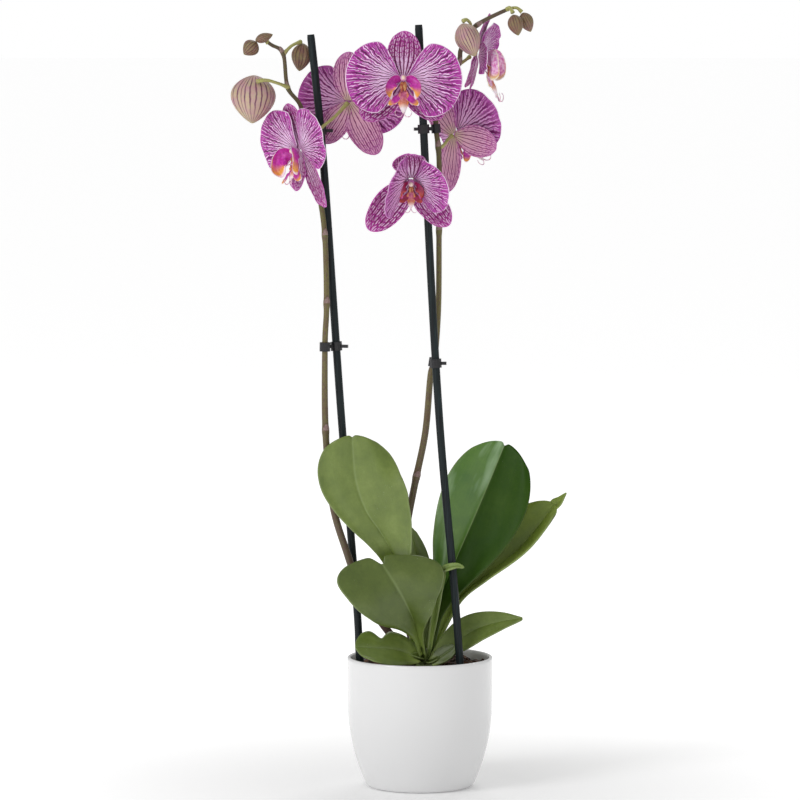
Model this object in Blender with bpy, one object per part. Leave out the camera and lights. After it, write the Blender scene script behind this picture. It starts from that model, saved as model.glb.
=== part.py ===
# Potted moth orchid: two flower spikes tied to stakes, in a glazed pot with a plastic grow pot inside.
# Metres, +Z up. The origin is the centre of the pot's underside; -Y is the front.

import math

import bmesh
import bpy
from mathutils import Matrix, Vector

MM = 0.001

# Driving dimensions, in millimetres.
POT_HEIGHT = 117.5
POT_RADIUS = 65.7
POT_FOOT_RADIUS = 48.0
POT_WALL = 3.3
POT_FLOOR = 5.0
POT_BELLY_HEIGHT = 85.0
POT_BELLY_POWER = 2.25
GROW_POT_TOP = 104.0
GROW_POT_TOP_RADIUS = 61.2
GROW_POT_FOOT_RADIUS = 46.2
GROW_POT_WALL = 1.1
BARK_TOP = 109.0
STAKE_RADIUS = 3.5
CROWN_CENTRE = (4.0, 2.0)
CROWN_RADII = (4.5, 9.0, 7.4, 5.0)
CROWN_TOP = 120.0
CROWN_PIT_RADIUS = 17.0
CROWN_PIT_FLOOR = 92.0
GAP = 0.4
TURNED_STEPS = 36
TIP_DROP = 0.274
POINT_DROP = 0.95
POINT_POWER = 1.8
PETAL_THICKNESS = 1.1
LEAF_THICKNESS = 1.8

# Centre lines, in millimetres, from the pot upwards.
STAKE_LEFT = [(-47.5, 9, 58), (-54.7, 9, 117), (-57, 9, 161), (-71, 9, 335), (-86.7, 8, 563), (-98, 7, 678)]
STAKE_RIGHT = [(40.5, -17, 50), (36, -16, 114), (30, -15, 191), (20.5, -13, 293), (14, -11, 385),
               (7.6, -9, 502), (-1.4, -7, 687)]
SPIKE_LEFT = [(-7.5, 5.0, 113), (-26, 5, 136), (-41, 2, 157), (-56, 0, 185), (-66, -1, 212), (-79, -1, 257),
              (-85, 0, 322), (-85.5, 0, 398), (-84, 0, 436), (-85.5, 0, 498), (-91, 0, 538), (-98, 0, 570),
              (-106, -1, 612), (-118.5, -2, 631), (-122.5, -2, 661), (-133, -3, 669), (-141, -4, 674.5)]
SPIKE_RIGHT = [(-2.0, 12.5, 112), (-10, 13, 142), (-15, 13, 182), (-14, 14, 214), (-11, 14, 239), (-3.5, 12, 278),
               (5, 8, 321), (9.5, 1, 372), (13, 0, 386), (16.5, 0, 433), (17, 0, 502), (17, 0, 567),
               (14, 1, 598), (17, 2, 616), (34, 2, 651), (37, 1, 666), (50, 0, 686), (81, -2, 702)]


def mm(x, y, z):
    return Vector((x, y, z)) * MM


def material(name, colour, roughness, metallic=0.0):
    made = bpy.data.materials.new(name)
    made.use_nodes = True
    shader = made.node_tree.nodes["Principled BSDF"]
    shader.inputs["Base Color"].default_value = (*colour, 1.0)
    shader.inputs["Roughness"].default_value = roughness
    shader.inputs["Metallic"].default_value = metallic
    return made


def node(name, bm, finish, helper=False):
    """One object from a bmesh; a helper is only an operand of a Boolean."""
    mesh = bpy.data.meshes.new(name)
    bm.to_mesh(mesh)
    bm.free()
    mesh.shade_smooth()
    mesh.set_sharp_from_angle(angle=math.radians(35))
    made = bpy.data.objects.new(name, mesh)
    bpy.context.scene.collection.objects.link(made)
    made.data.materials.append(finish)
    if helper:
        made.hide_render = True
        made.display_type = "WIRE"
    return made


def boolean(target, other, operation):
    modifier = target.modifiers.new(operation.lower() + "_" + other.name, "BOOLEAN")
    modifier.operation = operation
    modifier.solver = "EXACT"
    modifier.object = other


def smooth_line(points, steps=16):
    """A Catmull-Rom curve through the points, as a list of vectors in metres."""
    ends = [points[0]] + list(points) + [points[-1]]
    knots = [mm(*p) for p in ends]
    line = []
    for a, b, c, d in zip(knots, knots[1:], knots[2:], knots[3:]):
        for step in range(steps):
            t = step / steps
            line.append(0.5 * (2 * b + (c - a) * t + (2 * a - 5 * b + 4 * c - d) * t ** 2
                               + (3 * b - 3 * c + d - a) * t ** 3))
    line.append(knots[-1])
    return line


def point_at(line, share):
    """The point and direction at a share of the line's length."""
    lengths = [(b - a).length for a, b in zip(line, line[1:])]
    left = max(0.0, min(1.0, share)) * sum(lengths)
    for a, b, length in zip(line, line[1:], lengths):
        if left <= length or b is line[-1]:
            return a + (b - a) * (left / length), (b - a).normalized()
        left -= length
    return line[-1], (line[-1] - line[-2]).normalized()


def between(values, share):
    """A value, or a vector, read from a few that are spread evenly over 0 to 1."""
    place = max(0.0, min(1.0, share)) * (len(values) - 1)
    first = min(int(place), len(values) - 2)
    return values[first] + (values[first + 1] - values[first]) * (place - first)


def width_share(u, claw, start, peak, power, point):
    """Half-width of a blade at u: narrow to the start, full at the peak, then round, or pointed, to the tip."""
    if u < peak:
        opened = max(0.0, (u - start) / (peak - start))
        return claw + (1 - claw) * math.sin(math.pi / 2 * opened) ** power
    past = (u - peak) / (1 - peak)
    rounded = math.sqrt(1 - ((1 - TIP_DROP) * past) ** 2)
    return (1 - point) * rounded + point * (1 - POINT_DROP * past ** POINT_POWER)


def blade(line, faces, half_width, claw=0.15, start=0.0, peak=0.55, power=1.0, point=0.0, notch=0.0,
          notch_width=0.22, fold=(0, 0), curl=(0, 0), skew=(0, 0), swing=(0, 0), rows=6, columns=4):
    """A leaf, petal or sepal: a grid laid along the line, its upper side towards the faces.

    fold is the angle in degrees that each half makes with the level, and curl what its margin adds.
    skew widens one half and narrows the other, and swing turns both within the blade's own plane.
    """
    bm = bmesh.new()
    bmesh.ops.create_grid(bm, x_segments=rows, y_segments=columns, size=0.5)
    faces = [Vector(f).normalized() for f in faces]
    tip_arc = (1 - point) * TIP_DROP * (1 - peak) / (1 - TIP_DROP * peak)
    for vert in bm.verts:
        u = vert.co.x + 0.5
        v = vert.co.y * 2
        share = u * (1 - tip_arc * v * v - notch * math.exp(-((v / notch_width) ** 2)))
        centre, along = point_at(line, share)
        side = along.cross(between(faces, u)).normalized()
        up = side.cross(along)
        swung = math.radians(between(swing, u))
        side = side * math.cos(swung) - along * math.sin(swung)
        width = half_width * MM * width_share(u, claw, start, peak, power, point)
        width *= 1 + math.copysign(between(skew, u), v)
        base = math.radians(between(fold, u))
        turn = math.radians(between(curl, u)) or 1e-6
        out = (math.sin(base + turn * abs(v)) - math.sin(base)) / turn
        rise = (math.cos(base) - math.cos(base + turn * abs(v))) / turn
        vert.co = centre + side * (math.copysign(out, v) * width) + up * (rise * width)
    return bm


def thicken(obj, thickness):
    modifier = obj.modifiers.new("thickness", "SOLIDIFY")
    modifier.thickness = thickness * MM
    modifier.offset = 0.0
    modifier.use_even_offset = False


def tube(line, radii, sides, stations=None):
    """A round rod along the line, thick as the radii say, with flat ends and a ring at each station."""
    if stations is None:
        run = [0.0]
        for a, b in zip(line, line[1:]):
            run.append(run[-1] + (b - a).length)
        shares = [r / run[-1] for r in run]
    else:
        shares = [n / stations for n in range(stations + 1)]
    bm = bmesh.new()
    across = point_at(line, 0)[1].orthogonal()
    last = None
    for share in shares:
        centre, along = point_at(line, share)
        across = (across - along * across.dot(along)).normalized()
        turn = Matrix((across, along.cross(across), along)).transposed().to_4x4()
        ring = bmesh.ops.create_circle(
            bm, cap_ends=share in (shares[0], shares[-1]), segments=sides, radius=between(radii, share) * MM,
            matrix=Matrix.Translation(centre) @ turn)["verts"]
        edges = [e for e in bm.edges if e.verts[0] in ring and e.verts[1] in ring]
        if last:
            bmesh.ops.bridge_loops(bm, edges=last + edges)
        last = edges
    bmesh.ops.recalc_face_normals(bm, faces=bm.faces)
    return bm


def at_height(points, z):
    """The point of a centre line at a height in millimetres, and its direction there."""
    line = smooth_line(points)
    for a, b in zip(line, line[1:]):
        if a.z <= z * MM <= b.z:
            return a + (b - a) * ((z * MM - a.z) / (b.z - a.z)), (b - a).normalized()


def turned(profile, steps):
    """A full spin about Z of a profile of (radius, height) points in millimetres."""
    bm = bmesh.new()
    verts = [bm.verts.new((r * MM, 0, z * MM)) for r, z in profile]
    edges = [bm.edges.new(pair) for pair in zip(verts, verts[1:])]
    bmesh.ops.spin(bm, geom=verts + edges, cent=(0, 0, 0), axis=(0, 0, 1), angle=math.tau,
                   steps=steps, use_merge=True)
    bmesh.ops.remove_doubles(bm, verts=bm.verts, dist=1e-6)
    bmesh.ops.recalc_face_normals(bm, faces=bm.faces)
    return bm


# Pot, grow pot, bark and crown

def pot_radius(z):
    shrink = max(0.0, 1 - z / POT_BELLY_HEIGHT) ** POT_BELLY_POWER
    return POT_RADIUS - (POT_RADIUS - POT_FOOT_RADIUS) * shrink


def make_pot():
    finish = material("white_glaze", (0.87, 0.87, 0.86), 0.18)
    lip = POT_WALL / 2
    outer_heights = (1.3, 10, 22, 36, 56, POT_BELLY_HEIGHT, POT_HEIGHT - lip)
    inner_heights = (POT_HEIGHT - lip, POT_BELLY_HEIGHT, 56, 36, 22, 11)
    profile = [(0, 0), (POT_FOOT_RADIUS - 1.6, 0)]
    profile += [(pot_radius(z), z) for z in outer_heights]
    for angle in (45, 90, 135):
        turn = math.radians(angle)
        profile.append((POT_RADIUS - lip + lip * math.cos(turn), POT_HEIGHT - lip + lip * math.sin(turn)))
    profile += [(pot_radius(z) - POT_WALL, z) for z in inner_heights]
    profile += [(pot_radius(POT_FLOOR) - POT_WALL - 3, POT_FLOOR), (0, POT_FLOOR)]
    node("pot", turned(profile, TURNED_STEPS), finish)


def grow_pot_radius(z):
    share = (z - POT_FLOOR) / (GROW_POT_TOP - POT_FLOOR)
    return GROW_POT_FOOT_RADIUS + (GROW_POT_TOP_RADIUS - GROW_POT_FOOT_RADIUS) * share


def make_grow_pot():
    finish = material("clear_grey_plastic", (0.28, 0.29, 0.30), 0.35)
    foot = POT_FLOOR + GAP
    floor = foot + GROW_POT_WALL
    profile = [(0, foot), (grow_pot_radius(foot) - 3, foot), (grow_pot_radius(foot + 5), foot + 5),
               (GROW_POT_TOP_RADIUS, GROW_POT_TOP), (GROW_POT_TOP_RADIUS - GROW_POT_WALL, GROW_POT_TOP),
               (grow_pot_radius(foot + 5) - GROW_POT_WALL, foot + 5.4), (grow_pot_radius(foot) - 4, floor),
               (0, floor)]
    node("nursery_pot", turned(profile, TURNED_STEPS), finish)


def make_bark():
    finish = material("bark_chips", (0.16, 0.08, 0.04), 0.85)
    inset = GROW_POT_WALL + GAP
    low = POT_FLOOR + GROW_POT_WALL + 2 * GAP
    profile = [(0, low), (grow_pot_radius(low) - 5 - inset, low), (grow_pot_radius(low + 7) - inset, low + 7),
               (GROW_POT_TOP_RADIUS - inset - 0.3, GROW_POT_TOP - 2), (55, BARK_TOP - 1), (40, BARK_TOP + 1),
               (26, BARK_TOP), (CROWN_PIT_RADIUS, BARK_TOP - 3), (CROWN_PIT_RADIUS - 2, CROWN_PIT_FLOOR),
               (0, CROWN_PIT_FLOOR)]
    bark = node("bark_mix", turned(profile, TURNED_STEPS), finish)
    for name, points in (("hole_left", STAKE_LEFT), ("hole_right", STAKE_RIGHT)):
        line = smooth_line(points, 4)
        line.insert(0, line[0] + (line[0] - line[1]).normalized() * (2 * GAP * MM))
        hole = node(name, tube(line, (STAKE_RADIUS + GAP,) * 2, 12), finish, helper=True)
        boolean(bark, hole, "DIFFERENCE")


def make_crown():
    finish = material("crown_green", (0.30, 0.36, 0.12), 0.5)
    x, y = CROWN_CENTRE
    line = smooth_line([(x, y, CROWN_PIT_FLOOR + GAP), (x, y, CROWN_TOP)], 1)
    node("crown", tube(line, CROWN_RADII, 10, stations=3), finish)


# Leaves: centre line from the crown to the tip, where the upper side faces, half-width and shape

LEAVES = {
    "leaf_back_left": dict(
        line=[(-2, 3, 121), (-8, -1, 160), (-18, -6, 198), (-34, -10, 229), (-48, -13, 250), (-57, -14, 275),
              (-60, -14, 300), (-61, -14, 320)],
        faces=[(-0.5, -0.85, 0.1), (-0.5, -0.85, 0.2), (-0.2, -0.95, 0.2), (0.1, -0.98, 0.1)],
        half_width=37, claw=0.19, start=0.16, peak=0.86, power=2.2, notch=0.012, notch_width=0.05,
        fold=(60, 34, 14, 8), curl=(10, 4, -4, -8), skew=(0, 0, 0.16, 0.36, 0.36, 0.12, 0)),
    "leaf_back_right": dict(
        line=[(8, 7, 123), (17, 10, 165), (32, 16, 202), (52, 22, 247), (78, 28, 309)],
        faces=[(0.4, -0.9, 0.2), (0.1, -0.95, 0.25), (-0.05, -0.95, 0.3)],
        half_width=43, claw=0.15, start=0.15, peak=0.77, power=1.3, notch=0.02, notch_width=0.05,
        fold=(55, 30, 22), curl=(10, 0, -8), skew=(0, 0, 0.04, 0.06, 0.08)),
    "leaf_far_right": dict(
        line=[(12, 14, 120), (34, 26, 163), (62, 31, 188), (90, 34, 211), (110, 34, 234), (124, 34, 252)],
        faces=[(-0.3, -0.85, 0.5), (-0.5, -0.72, 0.5), (-0.5, -0.72, 0.5)],
        half_width=32, claw=0.20, start=0.12, peak=0.78, power=1.3, point=0.25, fold=(50, 42, 34)),
    "leaf_front_left": dict(
        line=[(3, -8.5, 121), (-5.5, -20, 152), (-13.5, -30, 171), (-24, -35, 190), (-39, -34, 213)],
        faces=[(-0.2, -0.95, 0.3), (-0.1, -0.9, 0.4), (0.1, -0.85, 0.5)],
        half_width=49, claw=0.13, start=0.12, peak=0.84, power=2.0, notch=0.09, notch_width=0.13,
        fold=(60, 16, 6), curl=(15, 0, -14), skew=(0, -0.1, -0.1, -0.04, 0), swing=(0, 0, 8, 20, 24)),
    "leaf_low_left": dict(
        line=[(-2, -10, 117), (-18, -21, 125), (-36, -34, 130), (-58, -44, 132)],
        faces=[(0.1, -0.75, 0.65), (0.1, -0.75, 0.65), (0.1, -0.75, 0.65)],
        half_width=20, claw=0.3, peak=0.6, power=0.8, fold=(22, 8, 2), curl=(0, 0, -8)),
    "leaf_low_right": dict(
        line=[(12, -3, 114), (32, 3, 129), (50, 5, 141), (72, 6, 148), (93, 5, 151)],
        faces=[(-0.1, -0.75, 0.65), (-0.1, -0.75, 0.65), (0, -0.75, 0.65)],
        half_width=16.5, claw=0.3, peak=0.46, point=1.0, fold=(24, 10, 4)),
    "leaf_under_right": dict(
        line=[(10, -9, 113), (21, -10, 120), (32, -10, 128)], faces=[(0, -0.8, 0.6), (0, -0.8, 0.6)],
        half_width=8, claw=0.5, peak=0.6, fold=(8, 4)),
    "leaf_middle": dict(
        line=[(3, 9, 123), (1, 7, 160), (-1, 5, 200), (-5, 4, 222), (-10, 3, 235)],
        faces=[(0.2, -0.95, 0.1), (0.3, -0.9, 0.2), (0.4, -0.85, 0.3)],
        half_width=12, claw=0.3, peak=0.6, point=0.5, fold=(30, 14, 4)),
    "leaf_young": dict(
        line=[(8, -5, 124), (12, -5, 151), (17, -8, 180), (21, -15, 196), (27, -22.4, 201), (34, -23.5, 202.5), (40, -23, 201)],
        faces=[(0.3, -0.9, 0.3), (0.2, -0.9, 0.3), (0, -0.9, 0.35), (0, -0.9, 0.45)],
        half_width=5, claw=0.6, peak=0.7, point=0.3, fold=(50, 40, 30, 10), curl=(0, 10, 20, 40)),
}


def make_leaves():
    finish = material("leaf_green", (0.10, 0.20, 0.04), 0.35)
    for name, leaf in LEAVES.items():
        shape = dict(leaf)
        bm = blade(smooth_line(shape.pop("line")), rows=8, columns=4, **shape)
        thicken(node(name, bm, finish), LEAF_THICKNESS)


# Stakes, spikes and clips

def make_stakes():
    finish = material("dark_stake", (0.015, 0.025, 0.03), 0.35)
    for name, line in (("stake_left", STAKE_LEFT), ("stake_right", STAKE_RIGHT)):
        node(name, tube(smooth_line(line, 4), (STAKE_RADIUS, STAKE_RADIUS), 12), finish)


# Side stalks: each runs from inside its spike to just short of a bud or of the back of a flower
STALKS_LEFT = {
    "stalk_flower_left": [(-98, 0, 566), (-99, -3, 569), (-103.9, -11.9, 573.9)],
    "stalk_flower_left_back": [(-100, 0, 581), (-93, -5, 590), (-86, -3, 597), (-76, 4, 605), (-65.1, 16.1, 616.5)],
    "stalk_bud_left_large": [(-118, -2, 631), (-127, -15, 635), (-137, -23, 638), (-146, -24.6, 637)],
    "stalk_bud_left_upper": [(-122, -2, 661), (-115, 5, 668), (-107, 14, 671.5)],
    "stalk_bud_left_tip_a": [(-136, -3, 671), (-141, -4, 674.5), (-145.7, -4.2, 673)],
}
STALKS_RIGHT = {
    "stalk_flower_low": [(17, 0, 547), (16, -12, 548), (7, -26, 550), (-5.5, -34.4, 552.2)],
    "stalk_flower_right_back": [(16.5, 1, 576), (21, 2, 579), (25, 7, 584), (28.6, 12.9, 587.2)],
    "stalk_flower_front": [(17.5, 2, 616), (13, -10, 624), (2, -16.5, 633), (-13.4, -18.5, 640)],
    "stalk_flower_right_top": [(34, 2, 651), (39, 5, 654), (44.5, 12, 658)],
    "stalk_bud_right_upper": [(45.5, 0.2, 679.5), (45, -5, 687.5), (41.5, -11, 691.5), (38.2, -14.3, 690.3)],
    "stalk_bud_right_tip_a": [(78, -2, 700.8), (80, -6.5, 702.3), (82.6, -10.4, 697.8)],
    "stalk_bud_right_tip_b": [(78, -2, 701), (86, -3, 702), (90.8, -2.5, 698.3)],
}
BRACTS_LEFT = [((-83, 0, 430), (-79, -3, 447)), ((-85, 0, 493), (-82, -4, 506))]
BRACTS_RIGHT = [((80, -2, 702.5), (99, -3, 703))]


def make_spike(name, line, radii, stalks, bracts, finish):
    spike = node(name, tube(smooth_line(line, 3), radii, 7), finish)
    for stalk_name, stalk in stalks.items():
        part = node(stalk_name, tube(smooth_line(stalk, 2), (1.6, 1.5, 1.7), 6), finish, helper=True)
        boolean(spike, part, "UNION")
    for start, end in bracts:
        line = smooth_line([start, end], 1)
        part = node(name + "_bract", tube(line, (2.0, 1.6, 0.5), 5, stations=3), finish, helper=True)
        boolean(spike, part, "UNION")


def make_spikes():
    finish = material("stem_olive", (0.17, 0.15, 0.05), 0.5)
    radii = (3.9, 3.7, 3.4, 3.2, 3.0, 2.9, 2.8, 2.6, 2.3, 1.9)
    make_spike("spike_left", SPIKE_LEFT, radii, STALKS_LEFT, BRACTS_LEFT, finish)
    make_spike("spike_right", SPIKE_RIGHT, radii, STALKS_RIGHT, BRACTS_RIGHT, finish)


CLIP_HEIGHT = 8.0
CLIP_WALL = 1.2
# Each clip: its stake, its spike, the height, the stem's radius there, and which way its tab points
CLIPS = {
    "clip_left_low": (STAKE_LEFT, SPIKE_LEFT, 398, 3.1, (10.5, -3, 0)),
    "clip_left_high": (STAKE_LEFT, SPIKE_LEFT, 592, 2.5, (11, 0, 0)),
    "clip_right_low": (STAKE_RIGHT, SPIKE_RIGHT, 384, 3.3, (9.5, 1, 0)),
    "clip_right_high": (STAKE_RIGHT, SPIKE_RIGHT, 594, 2.5, (-8.5, -2, 0)),
}


def sleeve(name, centre, along, radius, height, finish, helper=True):
    half = along * (height * MM / 2)
    return node(name, tube([centre - half, centre + half], (radius, radius), 12), finish, helper)


def make_clips():
    finish = material("black_clip", (0.02, 0.02, 0.022), 0.4)
    clearance = GAP + 0.25
    for name, (stake, spike, height, stem_radius, tab) in CLIPS.items():
        at_stake, stake_run = at_height(stake, height)
        at_stem, stem_run = at_height(spike, height)
        stake_bore = STAKE_RADIUS + clearance
        stem_bore = stem_radius + clearance
        body = sleeve(name, at_stake, stake_run, stake_bore + CLIP_WALL, CLIP_HEIGHT, finish, helper=False)
        eye = sleeve(name + "_eye", at_stem, stem_run, stem_bore + CLIP_WALL, CLIP_HEIGHT, finish)
        web = node(name + "_web", tube([at_stake, at_stem], (2.2, 2.2), 4), finish, helper=True)
        tail = node(name + "_tail", tube([at_stake, at_stake + mm(*tab)], (2.0, 2.0), 4), finish, helper=True)
        for other in (eye, web, tail):
            boolean(body, other, "UNION")
        boolean(body, sleeve(name + "_bore", at_stake, stake_run, stake_bore, 3 * CLIP_HEIGHT, finish), "DIFFERENCE")
        boolean(body, sleeve(name + "_eye_bore", at_stem, stem_run, stem_bore, 3 * CLIP_HEIGHT, finish), "DIFFERENCE")


# Buds: from the end of the stalk to the bud's tip, and the greatest radius

BUDS = {
    "bud_left_large": ((-148, -6, 642), (-150, -9, 599), 21.5),
    "bud_left_upper": ((-105, 17, 670), (-108.5, 17, 645), 9.7),
    "bud_left_tip_a": ((-146, -4.5, 671.5), (-157.5, -6, 660.5), 8),
    "bud_left_tip_b": ((-147, -10.3, 672.8), (-131.5, -10.7, 678.4), 4.5),
    "bud_right_upper": ((37, -15.5, 688), (49, -17, 659), 11.8),
    "bud_right_tip_a": ((83, -11, 696), (87.5, -14, 677.5), 7.3),
    "bud_right_tip_b": ((91.5, -2, 697.5), (99, 2, 680.5), 6.8),
}


def make_buds():
    finish = material("bud_green_pink", (0.50, 0.42, 0.30), 0.5)
    for name, (base, tip, radius) in BUDS.items():
        start, end = mm(*base), mm(*tip)
        along = (end - start).normalized()
        half = (end - start).length / 2
        bm = bmesh.new()
        bmesh.ops.create_uvsphere(bm, u_segments=10, v_segments=7, radius=1.0)
        for vert in bm.verts:
            slim = 1 - 0.16 * (vert.co.z + 1) * max(0.0, vert.co.z)
            vert.co = Vector((vert.co.x * radius * MM * slim, vert.co.y * radius * MM * slim, vert.co.z * half))
        place = Matrix.Translation((start + end) / 2) @ along.to_track_quat("Z", "Y").to_matrix().to_4x4()
        bmesh.ops.transform(bm, matrix=place, verts=bm.verts)
        node(name, bm, finish)


# Flowers. In a flower's own frame X is to its right as one looks into it, Y up and Z out of its face.
# A blade is (angle round the face, length, half-width, lift at its base, lift at its tip, twist), in
# degrees and millimetres; the lift is how far it leans out of the plane of the face.

FLOWERS = {
    "flower_front": dict(
        centre=(-15, -24, 640), facing=(0, -1, -0.03), up=(0, 0, 1),
        dorsal=(88, 42, 15.5, -4, 4, 0), sepal_right=(-46, 50, 15, -6, -2, 0), sepal_left=(-135, 52, 16, -6, -2, 0),
        petal_right=(-4, 53, 33, 10, -4, 0), petal_left=(178, 52, 32, 10, -4, 0)),
    "flower_left": dict(
        centre=(-107, -16, 575), facing=(-0.80, -0.58, -0.12), up=(-0.1, 0.1, 1),
        dorsal=(96, 44, 16, 0, 8, 0), sepal_right=(-70, 57, 14, -4, 0, 10), sepal_left=(-126, 42, 12, -4, 0, 0),
        petal_right=(20, 50, 29, 10, 0, 0), petal_left=(150, 48, 30, 16, 8, 0)),
    "flower_left_back": dict(
        centre=(-64, 21, 617.5), facing=(0.04, 1, -0.05), up=(0, 0, 1),
        dorsal=(90, 45, 15, -2, 4, 0), sepal_right=(-58, 44, 13, -4, 0, 0), sepal_left=(-119, 54, 15, -4, 0, 0),
        petal_right=(176, 53, 31, 10, 0, 0), petal_left=(8, 47, 30, 10, 0, 0)),
    "flower_low": dict(
        centre=(-8, -38, 550), facing=(-0.02, -0.88, -0.47), up=(0, -0.47, 0.88),
        dorsal=(94, 34, 16, -4, 40, 0), sepal_right=(-49, 54, 14.5, 16, 18, 0), sepal_left=(-131, 60, 16, 16, 18, 0),
        petal_right=(6, 44, 27, 52, 26, 0), petal_left=(164, 46, 31, 64, 64, 6)),
    "flower_right_back": dict(
        centre=(31, 17, 588), facing=(0.5, 0.84, 0.1), up=(-0.55, 0.25, 0.84),
        dorsal=(90, 42, 15, -2, 4, 0), sepal_right=(-43, 54, 12, -4, 0, 0), sepal_left=(-132, 46, 14.5, -4, 0, 0),
        petal_right=(182, 48, 30, 10, 0, 0), petal_left=(-4, 30, 19, 30, 50, 0)),
    "flower_right_top": dict(
        centre=(52, 12, 661), facing=(0.96, -0.18, -0.12), up=(0.15, 0, 1),
        dorsal=(88, 38, 13, 0, 24, 0), sepal_right=(-60, 40, 12, -6, -10, 0), sepal_left=(-112, 34, 9, -6, -10, 0),
        petal_right=(36, 38, 18, 16, 24, 0), petal_left=(-165, 27, 15, 30, 30, 0)),
}
HUB_RADIUS = 2.8
PETAL_START = 4.0
LIP = (-90, 33, 14, 55, 10, 0)


def flower_frame(flower):
    out = Vector(flower["facing"]).normalized()
    up = Vector(flower["up"])
    up = (up - out * up.dot(out)).normalized()
    turn = Matrix((up.cross(out), up, out)).transposed().to_4x4()
    return Matrix.Translation(mm(*flower["centre"])) @ turn


def flower_blade(frame, spec, start, height, **shape):
    """A petal or sepal that begins start millimetres from the flower's axis, at a height out of the face."""
    angle, length, half_width, lift, tip_lift, twist = spec
    radial = Vector((math.cos(math.radians(angle)), math.sin(math.radians(angle)), 0))
    out = Vector((0, 0, 1))
    steps = 10
    run = (length - start) / steps
    point = radial * start + out * height
    points = [point]
    normals = []
    for step in range(steps):
        lean = math.radians(lift + (tip_lift - lift) * step / steps)
        along = radial * math.cos(lean) + out * math.sin(lean)
        normal = out * math.cos(lean) - radial * math.sin(lean)
        normals.append(Matrix.Rotation(math.radians(twist), 3, along) @ normal)
        point = point + along * run
        points.append(point)
    bm = blade([p * MM for p in points], normals, half_width, **shape)
    bmesh.ops.transform(bm, matrix=frame, verts=bm.verts)
    return bm


def make_sepals(name, flower, frame, finish):
    bm = bmesh.new()
    bmesh.ops.create_icosphere(bm, subdivisions=1, radius=HUB_RADIUS * MM,
                               matrix=frame @ Matrix.Translation(mm(0, 0, -1.6)))
    hub = node(name + "_sepals", bm, finish)
    for key in ("dorsal", "sepal_right", "sepal_left"):
        bm = flower_blade(frame, flower[key], 1.0, -1.2, claw=0.22, fold=(0, 4), curl=(0, 6), rows=5)
        sepal = node(name + "_" + key, bm, finish, helper=True)
        thicken(sepal, PETAL_THICKNESS)
        boolean(hub, sepal, "UNION")


def make_flowers():
    petal_finish = material("petal_magenta", (0.55, 0.18, 0.50), 0.45)
    lip_finish = material("lip_magenta", (0.50, 0.03, 0.28), 0.4)
    column_finish = material("column_lilac", (0.75, 0.50, 0.70), 0.4)
    for name, flower in FLOWERS.items():
        frame = flower_frame(flower)
        make_sepals(name, flower, frame, petal_finish)
        for key in ("petal_right", "petal_left"):
            bm = flower_blade(frame, flower[key], PETAL_START, 1.4, claw=0.09, peak=0.5, fold=(0, 3), curl=(0, -4))
            thicken(node(name + "_" + key, bm, petal_finish), PETAL_THICKNESS)
        lip = flower_blade(frame, LIP, 5.2, 3.6, claw=0.4, peak=0.45, fold=(30, 20), curl=(50, 20), columns=6)
        thicken(node(name + "_lip", lip, lip_finish), PETAL_THICKNESS)
        column = smooth_line([(0, 0, 1.9), (0, 0.6, 10.5)], 1)
        bm = tube(column, (2.0, 2.6, 2.9, 2.2), 8, stations=3)
        bmesh.ops.transform(bm, matrix=frame, verts=bm.verts)
        node(name + "_column", bm, column_finish)


def main():
    for old in list(bpy.data.objects):
        bpy.data.objects.remove(old)
    make_pot()
    make_grow_pot()
    make_bark()
    make_crown()
    make_leaves()
    make_stakes()
    make_spikes()
    make_clips()
    make_buds()
    make_flowers()


main()
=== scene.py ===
import bisect
import math
import random

import bmesh
import bpy
from mathutils import Matrix, Vector, noise


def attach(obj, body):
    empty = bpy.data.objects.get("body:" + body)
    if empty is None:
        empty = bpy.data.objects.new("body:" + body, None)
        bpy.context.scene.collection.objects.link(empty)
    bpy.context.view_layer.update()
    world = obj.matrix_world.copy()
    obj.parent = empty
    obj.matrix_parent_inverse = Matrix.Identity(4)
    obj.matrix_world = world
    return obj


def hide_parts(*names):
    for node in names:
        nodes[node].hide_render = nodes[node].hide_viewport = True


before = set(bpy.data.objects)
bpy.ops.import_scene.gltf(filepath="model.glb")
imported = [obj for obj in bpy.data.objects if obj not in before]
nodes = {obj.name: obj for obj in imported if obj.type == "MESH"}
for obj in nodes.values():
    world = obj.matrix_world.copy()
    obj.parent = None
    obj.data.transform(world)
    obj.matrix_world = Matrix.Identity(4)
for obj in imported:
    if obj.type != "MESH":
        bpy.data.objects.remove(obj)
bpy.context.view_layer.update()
print("frame loaded:", len(nodes), "nodes")


# Small tools

def mm(x, y, z):
    return Vector((x, y, z)) * 0.001


def between(values, share):
    # a number or vector read from a few that are spread evenly over 0 to 1
    place = max(0.0, min(1.0, share)) * (len(values) - 1)
    first = min(int(place), len(values) - 2)
    return values[first] + (values[first + 1] - values[first]) * (place - first)


def smoothLine(points, steps=14):
    # Catmull-Rom curve through points given in millimetres
    ends = [points[0]] + list(points) + [points[-1]]
    knots = [mm(*p) for p in ends]
    line = []
    for a, b, c, d in zip(knots, knots[1:], knots[2:], knots[3:]):
        for step in range(steps):
            t = step / steps
            line.append(0.5 * (2 * b + (c - a) * t + (2 * a - 5 * b + 4 * c - d) * t ** 2
                               + (3 * b - 3 * c + d - a) * t ** 3))
    line.append(knots[-1])
    return line


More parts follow.
